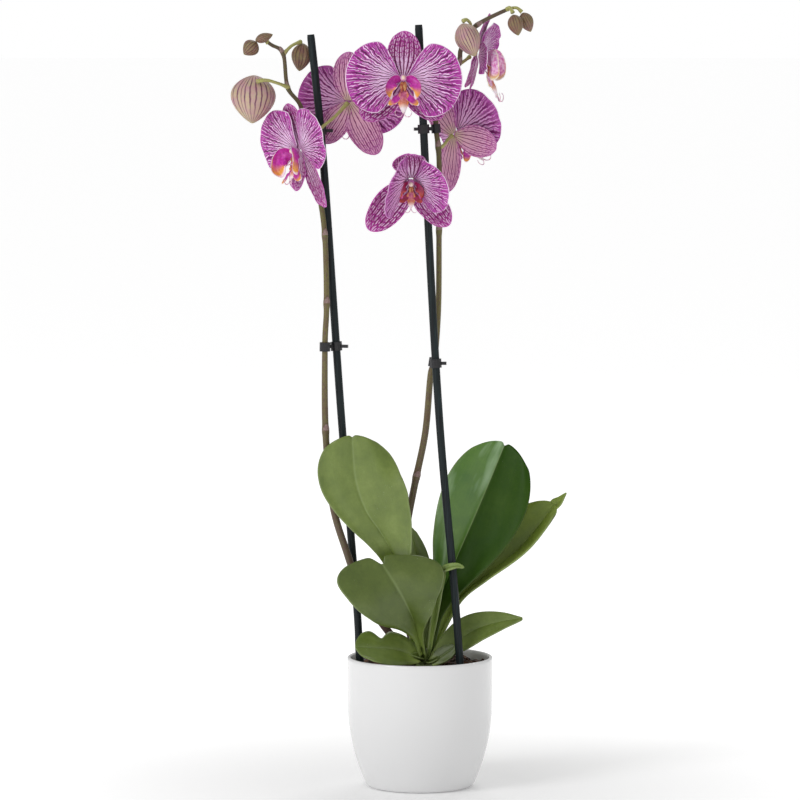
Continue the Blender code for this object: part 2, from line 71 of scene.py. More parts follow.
def pathOf(line):
    # gives the point and direction at a share of the line's length
    run = [0.0]
    for a, b in zip(line, line[1:]):
        run.append(run[-1] + (b - a).length)

    def place(share):
        at = max(0.0, min(1.0, share)) * run[-1]
        i = min(max(bisect.bisect_right(run, at), 1), len(line) - 1)
        return line[i - 1].lerp(line[i], (at - run[i - 1]) / (run[i] - run[i - 1]))

    def look(share):
        ahead = place(min(1.0, share + 0.012)) - place(max(0.0, share - 0.012))
        return place(share), ahead.normalized()

    return look


def pieceFrom(name, bm, finish, node=None, body="root", angle=None):
    mesh = bpy.data.meshes.new(name)
    bm.to_mesh(mesh)
    bm.free()
    mesh.shade_smooth()
    if angle:
        mesh.set_sharp_from_angle(angle=math.radians(angle))
    piece = bpy.data.objects.new(name, mesh)
    bpy.context.scene.collection.objects.link(piece)
    for one in finish if isinstance(finish, (list, tuple)) else [finish]:
        mesh.materials.append(one)
    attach(piece, body)
    if node:
        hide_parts(*([node] if isinstance(node, str) else node))
    return piece


def thicken(piece, thickness):
    # the upper side takes the second material and the underside keeps the first
    wall = piece.modifiers.new("thickness", "SOLIDIFY")
    wall.thickness = thickness * 0.001
    wall.offset = 0.0
    wall.use_even_offset = False
    wall.material_offset = 1
    wall.material_offset_rim = 1


def soften(piece):
    smooth = piece.modifiers.new("smooth", "SUBSURF")
    smooth.levels = smooth.render_levels = 1


def joinInto(bm, other):
    # adds a second bmesh to the first, with its UVs
    mesh = bpy.data.meshes.new("part")
    other.to_mesh(mesh)
    other.free()
    bm.from_mesh(mesh)
    bpy.data.meshes.remove(mesh)


def addPart(bm, part, finish):
    for face in part.faces:
        face.material_index = finish
    joinInto(bm, part)


def dress(finish, *names):
    # gives CAD nodes that are shown as they are their finish
    for name in names:
        nodes[name].data.materials.clear()
        nodes[name].data.materials.append(finish)


# Material tools

def newMaterial(name):
    made = bpy.data.materials.new(name)
    made.use_nodes = True
    return made, made.node_tree, made.node_tree.nodes["Principled BSDF"]


def feed(tree, node, inputs):
    # sets each input, or links it where the value is another node's output
    for key, value in inputs.items():
        if isinstance(value, bpy.types.NodeSocket):
            tree.links.new(value, node.inputs[key])
        elif value is not None:
            node.inputs[key].default_value = value


def wire(tree, kind, inputs=None, **settings):
    made = tree.nodes.new(kind)
    for key, value in settings.items():
        setattr(made, key, value)
    feed(tree, made, inputs or {})
    return made


def objectPlace(tree):
    return wire(tree, "ShaderNodeTexCoord").outputs["Object"]


def maths(tree, operation, a, b=None, c=None, clamp=False):
    made = wire(tree, "ShaderNodeMath", {0: a, 1: b, 2: c}, operation=operation, use_clamp=clamp)
    return made.outputs[0]


def rampOf(tree, factor, stops):
    made = tree.nodes.new("ShaderNodeValToRGB")
    while len(made.color_ramp.elements) < len(stops):
        made.color_ramp.elements.new(0.5)
    for element, (position, colour) in zip(made.color_ramp.elements, stops):
        element.position = position
        if isinstance(colour, (int, float)):
            colour = (colour, colour, colour)
        element.color = (*colour, 1.0)
    tree.links.new(factor, made.inputs[0])
    return made.outputs[0]


def mixColour(tree, factor, a, b):
    made = tree.nodes.new("ShaderNodeMix")
    made.data_type = "RGBA"
    for key, value in ((0, factor), (6, a), (7, b)):
        if isinstance(value, bpy.types.NodeSocket):
            tree.links.new(value, made.inputs[key])
        elif key == 0:
            made.inputs[key].default_value = value
        else:
            made.inputs[key].default_value = (*value, 1.0)
    return made.outputs[2]


def bumpFrom(tree, shader, height, strength, distance):
    bump = wire(tree, "ShaderNodeBump", {"Strength": strength, "Distance": distance, "Height": height})
    tree.links.new(bump.outputs[0], shader.inputs["Normal"])


def noiseOf(tree, vector, scale, detail=3.0, roughness=0.5):
    return wire(tree, "ShaderNodeTexNoise",
                {"Vector": vector, "Scale": scale, "Detail": detail, "Roughness": roughness}).outputs[0]


def plainMaterial(name):
    # colour, and where it is a list of stops the roughness too, follow one noise
    look = plainLooks[name]
    made, tree, shader = newMaterial(name)
    cloud = noiseOf(tree, objectPlace(tree), *look["noise"])
    rough = look["roughness"]
    if isinstance(rough, list):
        rough = rampOf(tree, cloud, rough)
    feed(tree, shader, {"Base Color": rampOf(tree, cloud, look["colours"]), "Roughness": rough})
    if look.get("flesh"):
        feed(tree, shader, {"Subsurface Weight": 0.1, "Subsurface Scale": 0.001})
    if "bump" in look:
        bumpFrom(tree, shader, cloud, *look["bump"])
    return made


# noise is its scale, detail and roughness; bump is its strength and depth in metres
plainLooks = {
    "growPotPlastic": {"noise": (90.0, 4.0), "roughness": [(0.3, 0.42), (0.7, 0.6)],
                       "colours": [(0.3, (0.035, 0.035, 0.034)), (0.75, (0.07, 0.068, 0.065))]},
    "crownFlesh": {"noise": (160.0, 3.0), "roughness": 0.5,
                   "colours": [(0.3, (0.16, 0.24, 0.05)), (0.7, (0.34, 0.44, 0.12))]},
    "stalkSkin": {"noise": (500.0, 3.0, 0.6), "roughness": 0.45,
                  "colours": [(0.3, (0.30, 0.29, 0.075)), (0.55, (0.42, 0.42, 0.14)),
                              (0.72, (0.30, 0.17, 0.12))]},
    "bractSkin": {"noise": (700.0, 3.0, 0.6), "roughness": 0.6,
                  "colours": [(0.35, (0.30, 0.22, 0.19)), (0.65, (0.19, 0.10, 0.10))]},
    "clipPlastic": {"noise": (1200.0, 2.0), "roughness": [(0.3, 0.28), (0.7, 0.42)], "bump": (0.15, 0.0003),
                    "colours": [(0.3, (0.004, 0.004, 0.005)), (0.7, (0.012, 0.011, 0.014))]},
    "columnFlesh": {"noise": (420.0, 3.0), "roughness": 0.45, "flesh": True,
                    "colours": [(0.3, (0.52, 0.10, 0.40)), (0.6, (0.74, 0.42, 0.66))]},
    "columnCap": {"noise": (420.0, 3.0), "roughness": 0.45, "flesh": True,
                  "colours": [(0.3, (0.78, 0.56, 0.42)), (0.6, (0.86, 0.72, 0.62))]},
    "callusFlesh": {"noise": (420.0, 3.0), "roughness": 0.45, "flesh": True,
                    "colours": [(0.40, (0.36, 0.05, 0.03)), (0.56, (0.55, 0.28, 0.10))]},
    "tendrilFlesh": {"noise": (420.0, 3.0), "roughness": 0.45, "flesh": True,
                     "colours": [(0.3, (0.40, 0.06, 0.20)), (0.6, (0.80, 0.60, 0.70))]},
}


def bladePlace(tree):
    # a blade's own coordinates, then how far along it, how far across it and how far from its middle line
    coordinates = wire(tree, "ShaderNodeTexCoord")
    uv = wire(tree, "ShaderNodeSeparateXYZ", {"Vector": coordinates.outputs["UV"]}).outputs
    across = maths(tree, "ABSOLUTE", maths(tree, "MULTIPLY_ADD", uv[1], 2.0, -1.0))
    return coordinates.outputs["Object"], uv[0], uv[1], across


# Camera, light and floor

camera = {"place": (-0.018, -4.6, 0.758), "aim": (-0.018, 0.0, 0.350), "lens": 230.9}
lights = {
    "keySoftbox": {"place": (-2.2, -2.0, 2.2), "aim": (0, 0, 0.35), "size": (1.3, 1.6), "power": 33.0},
    "stripSoftbox": {"place": (-1.2, -2.6, 0.9), "aim": (0, 0, 0.3), "size": (0.35, 1.4), "power": 4.0},
    "backSoftbox": {"place": (0.6, 2.2, 2.4), "aim": (0, 0, 0.35), "size": (1.8, 1.2), "power": 18.0},
}
world = {"colour": (1.0, 1.0, 1.0), "seen": 1.0, "light": 0.52}
floorLook = {"colour": (0.93, 0.93, 0.93), "size": 30.0, "glow": (0.10, 0.50)}


def standAt(thing, look):
    # puts a camera or lamp in the scene at its place, turned to what it aims at
    bpy.context.scene.collection.objects.link(thing)
    thing.location = look["place"]
    turn = (Vector(look["aim"]) - Vector(look["place"])).to_track_quat("-Z", "Y")
    thing.rotation_euler = turn.to_euler()
    return thing


def makeStudio():
    scene = bpy.context.scene
    lensData = bpy.data.cameras.new("camera")
    lensData.lens = camera["lens"]
    lensData.sensor_width = 36.0
    lensData.clip_end = 50.0
    scene.camera = standAt(bpy.data.objects.new("camera", lensData), camera)
    for name, look in lights.items():
        data = bpy.data.lights.new(name, "AREA")
        data.shape = "RECTANGLE"
        data.size, data.size_y = look["size"]
        data.energy = look["power"]
        standAt(bpy.data.objects.new(name, data), look)
    # a white room, seen brighter than it lights
    sky = bpy.data.worlds.new("studio")
    sky.use_nodes = True
    tree = sky.node_tree
    background = tree.nodes["Background"]
    background.inputs[0].default_value = (*world["colour"], 1.0)
    seen = wire(tree, "ShaderNodeLightPath").outputs["Is Camera Ray"]
    tree.links.new(maths(tree, "MULTIPLY_ADD", seen, world["seen"] - world["light"], world["light"]),
                   background.inputs[1])
    scene.world = sky
    scene.view_settings.view_transform = "Standard"
    bm = bmesh.new()
    bmesh.ops.create_grid(bm, x_segments=1, y_segments=1, size=floorLook["size"])
    bmesh.ops.translate(bm, verts=bm.verts, vec=(0, 0, -0.0004))
    mesh = bpy.data.meshes.new("studioFloor")
    bm.to_mesh(mesh)
    bm.free()
    ground = bpy.data.objects.new("studioFloor", mesh)
    scene.collection.objects.link(ground)
    made, tree, shader = newMaterial("paleFloor")
    feed(tree, shader, {"Base Color": (*floorLook["colour"], 1.0), "Roughness": 0.9})
    # a white table lit from within, less under the pot
    near, far = floorLook["glow"]
    away = wire(tree, "ShaderNodeVectorMath", {0: objectPlace(tree)}, operation="LENGTH").outputs[1]
    reach = rampOf(tree, away, [(0.10, 0.0), (0.55, 1.0)])
    feed(tree, shader, {"Emission Color": (1.0, 1.0, 1.0, 1.0),
                        "Emission Strength": maths(tree, "MULTIPLY_ADD", reach, far - near, near)})
    mesh.materials.append(made)


makeStudio()
print("studio ready")


# Pot, grow pot and bark

potLook = {"radius": 65.7, "foot": 48.0, "belly": 85.0, "power": 2.25, "height": 117.5, "wall": 3.3,
           "floor": 5.0, "glaze": ((0.785, 0.785, 0.788), (0.80, 0.80, 0.802)), "roughness": (0.23, 0.29)}


def potRadius(z):
    if z >= potLook["belly"]:
        return potLook["radius"]
    drop = ((potLook["belly"] - z) / potLook["belly"]) ** potLook["power"]
    return potLook["radius"] - (potLook["radius"] - potLook["foot"]) * drop


def spun(profile, steps):
    # a profile of (radius, height) in millimetres, spun once round the Z axis
    bm = bmesh.new()
    verts = [bm.verts.new(mm(r, 0, z)) for r, z in profile]
    edges = [bm.edges.new(pair) for pair in zip(verts, verts[1:])]
    bmesh.ops.spin(bm, geom=verts + edges, cent=(0, 0, 0), axis=(0, 0, 1), angle=2 * math.pi,
                   steps=steps, use_merge=True)
    bmesh.ops.remove_doubles(bm, verts=bm.verts, dist=1e-6)
    bmesh.ops.recalc_face_normals(bm, faces=bm.faces)
    return bm


def glazeMaterial():
    made, tree, shader = newMaterial("whiteGlaze")
    place = objectPlace(tree)
    cloud = noiseOf(tree, place, 5.0, 1.0)
    tone = rampOf(tree, cloud, [(0.0, potLook["glaze"][0]), (1.0, potLook["glaze"][1])])
    tree.links.new(tone, shader.inputs["Base Color"])
    ripple = noiseOf(tree, place, 22.0, 1.0)
    rough = rampOf(tree, ripple, [(0.0, potLook["roughness"][0]), (1.0, potLook["roughness"][1])])
    tree.links.new(rough, shader.inputs["Roughness"])
    bumpFrom(tree, shader, ripple, 0.05, 0.0004)
    feed(tree, shader, {"Specular IOR Level": 0.5, "Coat Weight": 0.35, "Coat Roughness": 0.12})
    return made


def makePot():
    outer = [(0.0, 0.0), (potLook["foot"] - 3.0, 0.0), (potLook["foot"] - 1.0, 0.35),
             (potLook["foot"] + 0.1, 1.4)]
    outer += [(potRadius(z), z) for z in [3 + n * 4.1 for n in range(21)]]
    outer += [(potLook["radius"], z) for z in (92, 100, 108, 114.5)]
    lip = potLook["radius"] - potLook["wall"] / 2
    for turn in range(1, 8):
        angle = math.pi * turn / 8
        outer.append((lip + math.cos(angle) * potLook["wall"] / 2, 115.9 + math.sin(angle) * 1.6))
    inner = [(potRadius(z) - potLook["wall"], z) for z in (114, 106, 98, 90, 78, 66, 54, 42, 30, 18, 9)]
    inner += [(potRadius(6) - potLook["wall"] - 2.5, 5.6), (30.0, potLook["floor"]),
              (0.0, potLook["floor"])]
    pieceFrom("coverPot", spun(outer + inner, 96), glazeMaterial(), "pot", angle=60)


barkLook = {"chips": 620, "seed": 7, "size": (3.0, 9.5), "top": 109.0}


def barkMaterial():
    made, tree, shader = newMaterial("barkChips")
    place = objectPlace(tree)
    patch = noiseOf(tree, place, 120.0, 3.0)
    grain = noiseOf(tree, place, 700.0, 4.0, 0.65)
    base = rampOf(tree, patch, [(0.30, (0.012, 0.006, 0.004)), (0.48, (0.055, 0.022, 0.012)),
                                (0.62, (0.17, 0.07, 0.032)), (0.8, (0.34, 0.17, 0.08))])
    colour = mixColour(tree, rampOf(tree, grain, [(0.35, 0.0), (0.65, 0.75)]), base, (0.02, 0.012, 0.008))
    tree.links.new(colour, shader.inputs["Base Color"])
    shader.inputs["Roughness"].default_value = 0.85
    bumpFrom(tree, shader, grain, 0.6, 0.0006)
    return made


def barkHeight(x, y):
    # heaped a little on the right, hollow around the crown
    away = math.hypot(x - 4, y - 2)
    heap = 2.0 * max(0.0, min(1.0, (x - 10) / 40))
    pit = 4.0 * math.exp(-(away / 16) ** 2)
    return barkLook["top"] - 1.5 + heap - pit


def makeBark():
    random.seed(barkLook["seed"])
    bm = bmesh.new()
    for number in range(barkLook["chips"]):
        reach = math.sqrt(random.random()) * 57.0
        turn = random.random() * 2 * math.pi
        x, y = reach * math.cos(turn), reach * math.sin(turn)
        long = random.uniform(*barkLook["size"])
        size = mm(long, long * random.uniform(0.45, 0.8), long * random.uniform(0.22, 0.42))
        chip = bmesh.ops.create_cube(bm, size=1.0)["verts"]
        for vert in chip:
            vert.co += Vector([random.uniform(-0.22, 0.22) for axis in range(3)])
        place = Matrix.Translation(mm(x, y, barkHeight(x, y) + random.uniform(-2.2, 1.6)))
        turned = (Matrix.Rotation(random.uniform(0, 2 * math.pi), 4, "Z")
                  @ Matrix.Rotation(random.gauss(0, 0.5), 4, "X")
                  @ Matrix.Rotation(random.gauss(0, 0.45), 4, "Y"))
        bmesh.ops.transform(bm, verts=chip, matrix=place @ turned @ Matrix.Diagonal((*size, 1.0)))
    bmesh.ops.bevel(bm, geom=bm.edges[:], offset=0.0004, offset_type="OFFSET", segments=1, profile=0.5,
                    affect="EDGES", material=-1)
    joinInto(bm, spun([(0.0, 8.0), (44.0, 8.0), (58.0, 60.0), (59.6, 104.0), (0.0, 104.0)], 48))
    pieceFrom("barkChips", bm, barkMaterial(), "bark_mix", angle=40)


makePot()
dress(plainMaterial("growPotPlastic"), "nursery_pot")
makeBark()
print("pot and bark made")


# Blades, which leaves, petals, sepals and lips are made of

def widthShare(u, claw, start, peak, power, point):
    # narrow to the start, full at the peak, then round or pointed to the tip
    if u < peak:
        opened = max(0.0, (u - start) / (peak - start))
        return claw + (1 - claw) * math.sin(math.pi / 2 * opened) ** power
    past = (u - peak) / (1 - peak)
    return (1 - point) * math.sqrt(1 - (0.726 * past) ** 2) + point * (1 - 0.95 * past ** 1.8)


def blade(path, faces, halfWidth, claw=0.15, start=0.0, peak=0.55, power=1.0, notch=0.0, notchWidth=0.22,
          fold=(0, 0), curl=(0, 0), skew=(0, 0), swing=(0, 0), bite=None, point=0.0, rows=30, columns=24,
          ruffle=0.0, waves=3.0, groove=0.0, seed=0.0):
    # a grid laid along the path; u runs along it and v across it, and both are kept as the UV map
    bm = bmesh.new()
    bm.loops.layers.uv.new("UVMap")
    bmesh.ops.create_grid(bm, x_segments=rows, y_segments=columns, size=0.5, calc_uvs=True)
    faces = [Vector(f).normalized() for f in faces]
    tipArc = (1 - point) * 0.274 * (1 - peak) / (1 - 0.274 * peak)
    for vert in bm.verts:
        u = vert.co.x + 0.5
        v = vert.co.y * 2
        share = u * (1 - tipArc * v * v - notch * math.exp(-((v / notchWidth) ** 2)))
        centre, along = path(share)
        side = along.cross(between(faces, u)).normalized()
        up = side.cross(along)
        swung = math.radians(between(swing, u))
        side = side * math.cos(swung) - along * math.sin(swung)
        width = halfWidth * 0.001 * widthShare(u, claw, start, peak, power, point)
        width *= 1 + between(skew, u) * (1 if v > 0 else -1)
        if bite and v * bite[0] > 0:
            width *= 1 - bite[3] * math.exp(-(((u - bite[1]) / bite[2]) ** 2))
        base = math.radians(between(fold, u))
        turn = math.radians(between(curl, u)) or 1e-6
        out = (math.sin(base + turn * abs(v)) - math.sin(base)) / turn
        rise = (math.cos(base) - math.cos(base + turn * abs(v))) / turn
        spot = centre + side * (math.copysign(out, v) * width) + up * (rise * width)
        if ruffle:
            edge = abs(v) ** 2.4 + max(0.0, u - 0.6) ** 2 * 3
            wave = noise.noise(Vector((u * waves + seed, v * waves * 0.8, seed * 1.7)))
            spot += up * (ruffle * 0.001 * wave * min(1.3, edge))
        if groove:
            spot -= up * (groove * 0.001 * math.exp(-((v / 0.05) ** 2)) * min(1.0, u * 4))
        vert.co = spot
    return bm


# Leaves

leafShapes = {
    "leaf_back_left": dict(
        line=[(-2, 3, 121), (-8, -1, 160), (-18, -6, 198), (-34, -10, 229), (-48, -13, 250),
              (-57, -14, 275), (-60, -14, 300), (-61, -14, 320)],
        faces=[(-0.5, -0.85, 0.1), (-0.5, -0.85, 0.2), (-0.2, -0.95, 0.2), (0.1, -0.98, 0.1)],
        halfWidth=37, claw=0.19, start=0.16, peak=0.86, power=2.2, notch=0.012, notchWidth=0.05,
        fold=(60, 34, 14, 8), curl=(10, 4, -4, -8), skew=(0, 0, 0.16, 0.36, 0.36, 0.12, 0.0)),
    "leaf_back_right": dict(
        line=[(8, 7, 123), (17, 10, 165), (32, 16, 202), (52, 22, 247), (78, 28, 309)],
        faces=[(0.4, -0.9, 0.2), (0.1, -0.95, 0.25), (-0.05, -0.95, 0.3)],
        halfWidth=43, claw=0.15, start=0.15, peak=0.77, power=1.3, notch=0.02, notchWidth=0.05,
        fold=(55, 30, 22), curl=(10, 0, -8), skew=(0, 0, 0.04, 0.06, 0.08)),
    "leaf_far_right": dict(
        line=[(12, 14, 120), (34, 26, 163), (62, 31, 188), (90, 34, 211), (110, 34, 234), (124, 34, 252)],
        faces=[(-0.3, -0.85, 0.5), (-0.5, -0.72, 0.5), (-0.5, -0.72, 0.5)],
        halfWidth=32, claw=0.20, start=0.12, peak=0.78, power=1.3, point=0.25, fold=(50, 42, 34),
        curl=(0, 0, 0)),
    "leaf_front_left": dict(
        line=[(3, -8.5, 121), (-5.5, -20, 152), (-13.5, -30, 171), (-24, -35, 190), (-39, -34, 213)],
        faces=[(-0.2, -0.95, 0.3), (-0.1, -0.9, 0.4), (0.1, -0.85, 0.5)],
        halfWidth=49, claw=0.13, start=0.12, peak=0.84, power=2.0, notch=0.09, notchWidth=0.13,
        fold=(60, 16, 6), curl=(15, 0, -14), skew=(0, -0.1, -0.1, -0.04, 0.0), swing=(0, 0, 8, 20, 24)),
    "leaf_low_left": dict(
        line=[(-2, -10, 117), (-18, -21, 125), (-36, -34, 130), (-58, -44, 132)],
        faces=[(0.1, -0.75, 0.65), (0.1, -0.75, 0.65), (0.1, -0.75, 0.65)],
        halfWidth=20, claw=0.3, peak=0.6, power=0.8, bite=(1, 0.67, 0.13, 0.5), fold=(22, 8, 2),
        curl=(0, 0, -8)),
    "leaf_low_right": dict(
        line=[(12, -3, 114), (32, 3, 129), (50, 5, 141), (72, 6, 148), (93, 5, 151)],
        faces=[(-0.1, -0.75, 0.65), (-0.1, -0.75, 0.65), (0.0, -0.75, 0.65)],
        halfWidth=16.5, claw=0.3, peak=0.46, point=1.0, fold=(24, 10, 4), curl=(0, 0, 0)),
    "leaf_under_right": dict(
        line=[(10, -9, 113), (21, -10, 120), (32, -10, 128)],
        faces=[(0.0, -0.8, 0.6), (0.0, -0.8, 0.6)],
        halfWidth=8, claw=0.5, peak=0.6, fold=(8, 4), curl=(0, 0)),
    "leaf_middle": dict(
        line=[(3, 9, 123), (1, 7, 160), (-1, 5, 200), (-5, 4, 222), (-10, 3, 235)],
        faces=[(0.2, -0.95, 0.1), (0.3, -0.9, 0.2), (0.4, -0.85, 0.3)],
        halfWidth=12, claw=0.3, peak=0.6, point=0.5, fold=(30, 14, 4), curl=(0, 0, 0)),
    "leaf_young": dict(
        line=[(8, -5, 124), (12, -5, 151), (17, -8, 180), (21, -15, 196), (27, -22.4, 201),
              (34, -23.5, 202.5), (40, -23, 201)],
        faces=[(0.3, -0.9, 0.3), (0.2, -0.9, 0.3), (0, -0.9, 0.35), (0, -0.9, 0.45)],
        halfWidth=5, claw=0.6, peak=0.7, point=0.3, fold=(50, 40, 30, 10), curl=(0, 10, 20, 40)),
}
# shade below 1 paints one half of a leaf darker as painted shade, and paints pale reflections on the other
# half
leafLooks = {
    "plainLeaf": {"dark": (0.095, 0.145, 0.018), "mid": (0.150, 0.210, 0.035), "light": (0.22, 0.29, 0.07),
                  "roughness": (0.36, 0.48), "coat": 0.16, "shade": 1.0},
    "lowLeaf": {"dark": (0.060, 0.095, 0.010), "mid": (0.092, 0.135, 0.018), "light": (0.14, 0.19, 0.04),
                "roughness": (0.36, 0.48), "coat": 0.16, "shade": 1.0},
    "farLeaf": {"dark": (0.145, 0.215, 0.018), "mid": (0.205, 0.285, 0.030), "light": (0.27, 0.35, 0.055),
                "roughness": (0.42, 0.55), "coat": 0.08, "shade": 1.0},
    "glossyLeaf": {"dark": (0.050, 0.145, 0.010), "mid": (0.085, 0.195, 0.016), "light": (0.15, 0.28, 0.04),
                   "roughness": (0.30, 0.42), "coat": 0.35, "shade": 0.25},
    "youngLeaf": {"dark": (0.15, 0.23, 0.045), "mid": (0.22, 0.31, 0.07), "light": (0.31, 0.40, 0.12),
                  "roughness": (0.40, 0.5), "coat": 0.2, "shade": 1.0},
    "leafBack": {"dark": (0.085, 0.110, 0.026), "mid": (0.110, 0.140, 0.036), "light": (0.15, 0.18, 0.055),
                 "roughness": (0.55, 0.65), "coat": 0.0, "shade": 1.0},
}


def leafMaterial(name):
    look = leafLooks[name]
    made, tree, shader = newMaterial(name)
    place, u, v, across = bladePlace(tree)
    cloud = noiseOf(tree, place, 34.0, 5.0, 0.68)
    speck = noiseOf(tree, place, 420.0, 3.0, 0.6)
    body = rampOf(tree, cloud, [(0.30, look["dark"]), (0.55, look["mid"]), (0.80, look["light"])])
    # fine veins that run with the leaf
    lanes = wire(tree, "ShaderNodeCombineXYZ", {"X": maths(tree, "MULTIPLY", u, 5.0),
                                                "Y": maths(tree, "MULTIPLY", v, 110.0)}).outputs[0]
    streak = noiseOf(tree, lanes, 1.0, 2.0)
    fine = maths(tree, "MULTIPLY", rampOf(tree, streak, [(0.45, 0.0), (0.75, 1.0)]), 0.16)
    veined = mixColour(tree, fine, body, look["light"])
    dots = maths(tree, "MULTIPLY", rampOf(tree, speck, [(0.4, 0.0), (0.7, 1.0)]), 0.22)
    specked = mixColour(tree, dots, veined, look["dark"])
    foot = mixColour(tree, rampOf(tree, u, [(0.04, 0.95), (0.30, 0.0)]), specked, (0.30, 0.40, 0.09))
    mote = rampOf(tree, noiseOf(tree, place, 900.0, 2.0), [(0.68, 0.0), (0.74, 0.55)])
    patch = rampOf(tree, noiseOf(tree, place, 30.0, 1.0), [(0.56, 0.0), (0.66, 1.0)])
    foot = mixColour(tree, maths(tree, "MULTIPLY", mote, patch), foot, (0.36, 0.42, 0.28))
    rib = rampOf(tree, across, [(0.0, 1.0), (0.016, 0.65), (0.045, 0.0)])
    ribbed = mixColour(tree, maths(tree, "MULTIPLY", rib, 0.5), foot, (0.22, 0.29, 0.10))
    rim = rampOf(tree, across, [(0.965, 0.0), (0.995, 0.6)])
    edged = mixColour(tree, rim, ribbed, (0.22, 0.28, 0.10))
    if look["shade"] < 1:
        # painted shade: one half of the leaf is painted a deeper green, as if it lay in shadow
        shadedHalf = rampOf(tree, v, [(0.495, 0.0), (0.505, 1.0)])
        dark = mixColour(tree, maths(tree, "MULTIPLY", shadedHalf, 1.0 - look["shade"]), edged,
                         (0.012, 0.034, 0.004))
        # painted reflection: pale streaks along the other half stand in for glossy reflections of the lamps
        lanes = wire(tree, "ShaderNodeCombineXYZ", {"X": maths(tree, "MULTIPLY", u, 2.2),
                                                    "Y": maths(tree, "MULTIPLY", v, 3.6)}).outputs[0]
        paintedReflection = rampOf(tree, noiseOf(tree, lanes, 1.0, 3.0, 0.6), [(0.50, 0.0), (0.66, 0.75)])
        paintedReflection = maths(tree, "MULTIPLY", paintedReflection, maths(tree, "SUBTRACT", 1.0, shadedHalf))
        edged = mixColour(tree, paintedReflection, dark, (0.30, 0.45, 0.24))
        tree.links.new(maths(tree, "MULTIPLY_ADD", shadedHalf, -look["coat"], look["coat"]),
                       shader.inputs["Coat Weight"])
        tree.links.new(maths(tree, "MULTIPLY_ADD", shadedHalf, -0.42, 0.5), shader.inputs["Specular IOR Level"])
    tree.links.new(edged, shader.inputs["Base Color"])
    tree.links.new(rampOf(tree, cloud, [(0.3, look["roughness"][0]), (0.7, look["roughness"][1])]),
                   shader.inputs["Roughness"])
    feed(tree, shader, {"Coat Weight": look["coat"], "Coat Roughness": 0.28, "Subsurface Weight": 0.08,
                        "Subsurface Radius": (0.3, 0.5, 0.1), "Subsurface Scale": 0.004})
    height = maths(tree, "ADD", maths(tree, "MULTIPLY", streak, 0.7), maths(tree, "MULTIPLY", speck, 0.3))
    bumpFrom(tree, shader, height, 0.25, 0.0005)
    return made


sheathLook = {"crown": (4.0, 2.0, 111.0), "reach": 0.75, "width": 0.95}
leafThickness = 1.8


def makeLeaves():
    finishes = {name: leafMaterial(name) for name in leafLooks}
    for number, (name, shape) in enumerate(leafShapes.items()):
        shape = dict(shape)
        line = smoothLine(shape.pop("line"))
        finish = {"leaf_back_right": "glossyLeaf", "leaf_young": "youngLeaf", "leaf_far_right": "farLeaf",
                  "leaf_front_left": "lowLeaf", "leaf_under_right": "lowLeaf"}.get(name, "plainLeaf")
        small = name in ("leaf_under_right", "leaf_middle", "leaf_young", "leaf_low_right")
        faces = shape.pop("faces")
        face = faces[0]
        bm = blade(pathOf(line), faces, rows=44, columns=16 if small else 30,
                   ruffle=1.2 if small else 4.0, waves=2.6, groove=0.7, seed=number * 3.7, **shape)
        if name == "leaf_far_right":
            tip = [(120, 34, 249), (128, 33, 254), (133, 31, 263)]
            joinInto(bm, blade(pathOf(smoothLine(tip)), [(-0.5, -0.7, 0.5), (-0.8, -0.5, 0.3)], 7, claw=0.8,
                               peak=0.2, point=1.0, fold=(20, 40), rows=10, columns=6))
        # a sheath that carries the leaf's foot down to the crown
        foot, ahead = line[0], line[0] + (line[4] - line[0]).normalized() * 0.010
        low = foot.lerp(mm(*sheathLook["crown"]), sheathLook["reach"])
        width = shape["halfWidth"] * shape["claw"] * sheathLook["width"]
        sheath = [tuple(p * 1000) for p in (low, foot, ahead)]
        joinInto(bm, blade(pathOf(smoothLine(sheath)), [face, face], width, claw=0.95, peak=0.5,
                           fold=(60, 55), rows=10, columns=10))
        leaf = pieceFrom("leafBlade_" + name[5:], bm, [finishes["leafBack"], finishes[finish]], name)
        thicken(leaf, leafThickness)
        soften(leaf)


makeLeaves()
dress(plainMaterial("crownFlesh"), "crown")
print("leaves made")


# Stakes, spikes and clips

stakeLines = {
    "stake_left": [(-47.5, 9, 58), (-54.7, 9, 117), (-57, 9, 161), (-71, 9, 335), (-86.7, 8, 563),
                   (-98, 7, 678)],
    "stake_right": [(40.5, -17, 50), (36, -16, 114), (30, -15, 191), (20.5, -13, 293), (14, -11, 385),
                    (7.6, -9, 502), (-1.4, -7, 687)],
}
stakeLook = {"radius": 3.5, "sides": 24, "black": (0.004, 0.005, 0.006), "sheen": (0.010, 0.020, 0.022)}
spikeLines = {
    "spike_left": [(-7.5, 5.0, 113), (-26, 5, 136), (-41, 2, 157), (-56, 0, 185), (-66, -1, 212),
                   (-79, -1, 257), (-85, 0, 322), (-85.5, 0, 398), (-84, 0, 436), (-85.5, 0, 498),
                   (-91, 0, 538), (-98, 0, 570), (-106, -1, 612), (-118.5, -2, 631), (-122.5, -2, 661),
                   (-133, -3, 669), (-141, -4, 674.5)],
    "spike_right": [(-2.0, 12.5, 112), (-10, 13, 142), (-15, 13, 182), (-14, 14, 214), (-11, 14, 239),
                    (-3.5, 12, 278), (5, 8, 321), (9.5, 1, 372), (13, 0, 386), (16.5, 0, 433), (17, 0, 502),
                    (17, 0, 567), (14, 1, 598), (17, 2, 616), (34, 2, 651), (37, 1, 666), (50, 0, 686),
                    (81, -2, 702)],
}
spikeRadii = {"spike_left": (3.6, 3.4, 3.2, 3.0, 2.6, 2.5, 2.3, 1.9, 1.6),
              "spike_right": (3.6, 3.4, 3.2, 3.0, 2.6, 2.5, 2.4, 2.2, 1.7)}
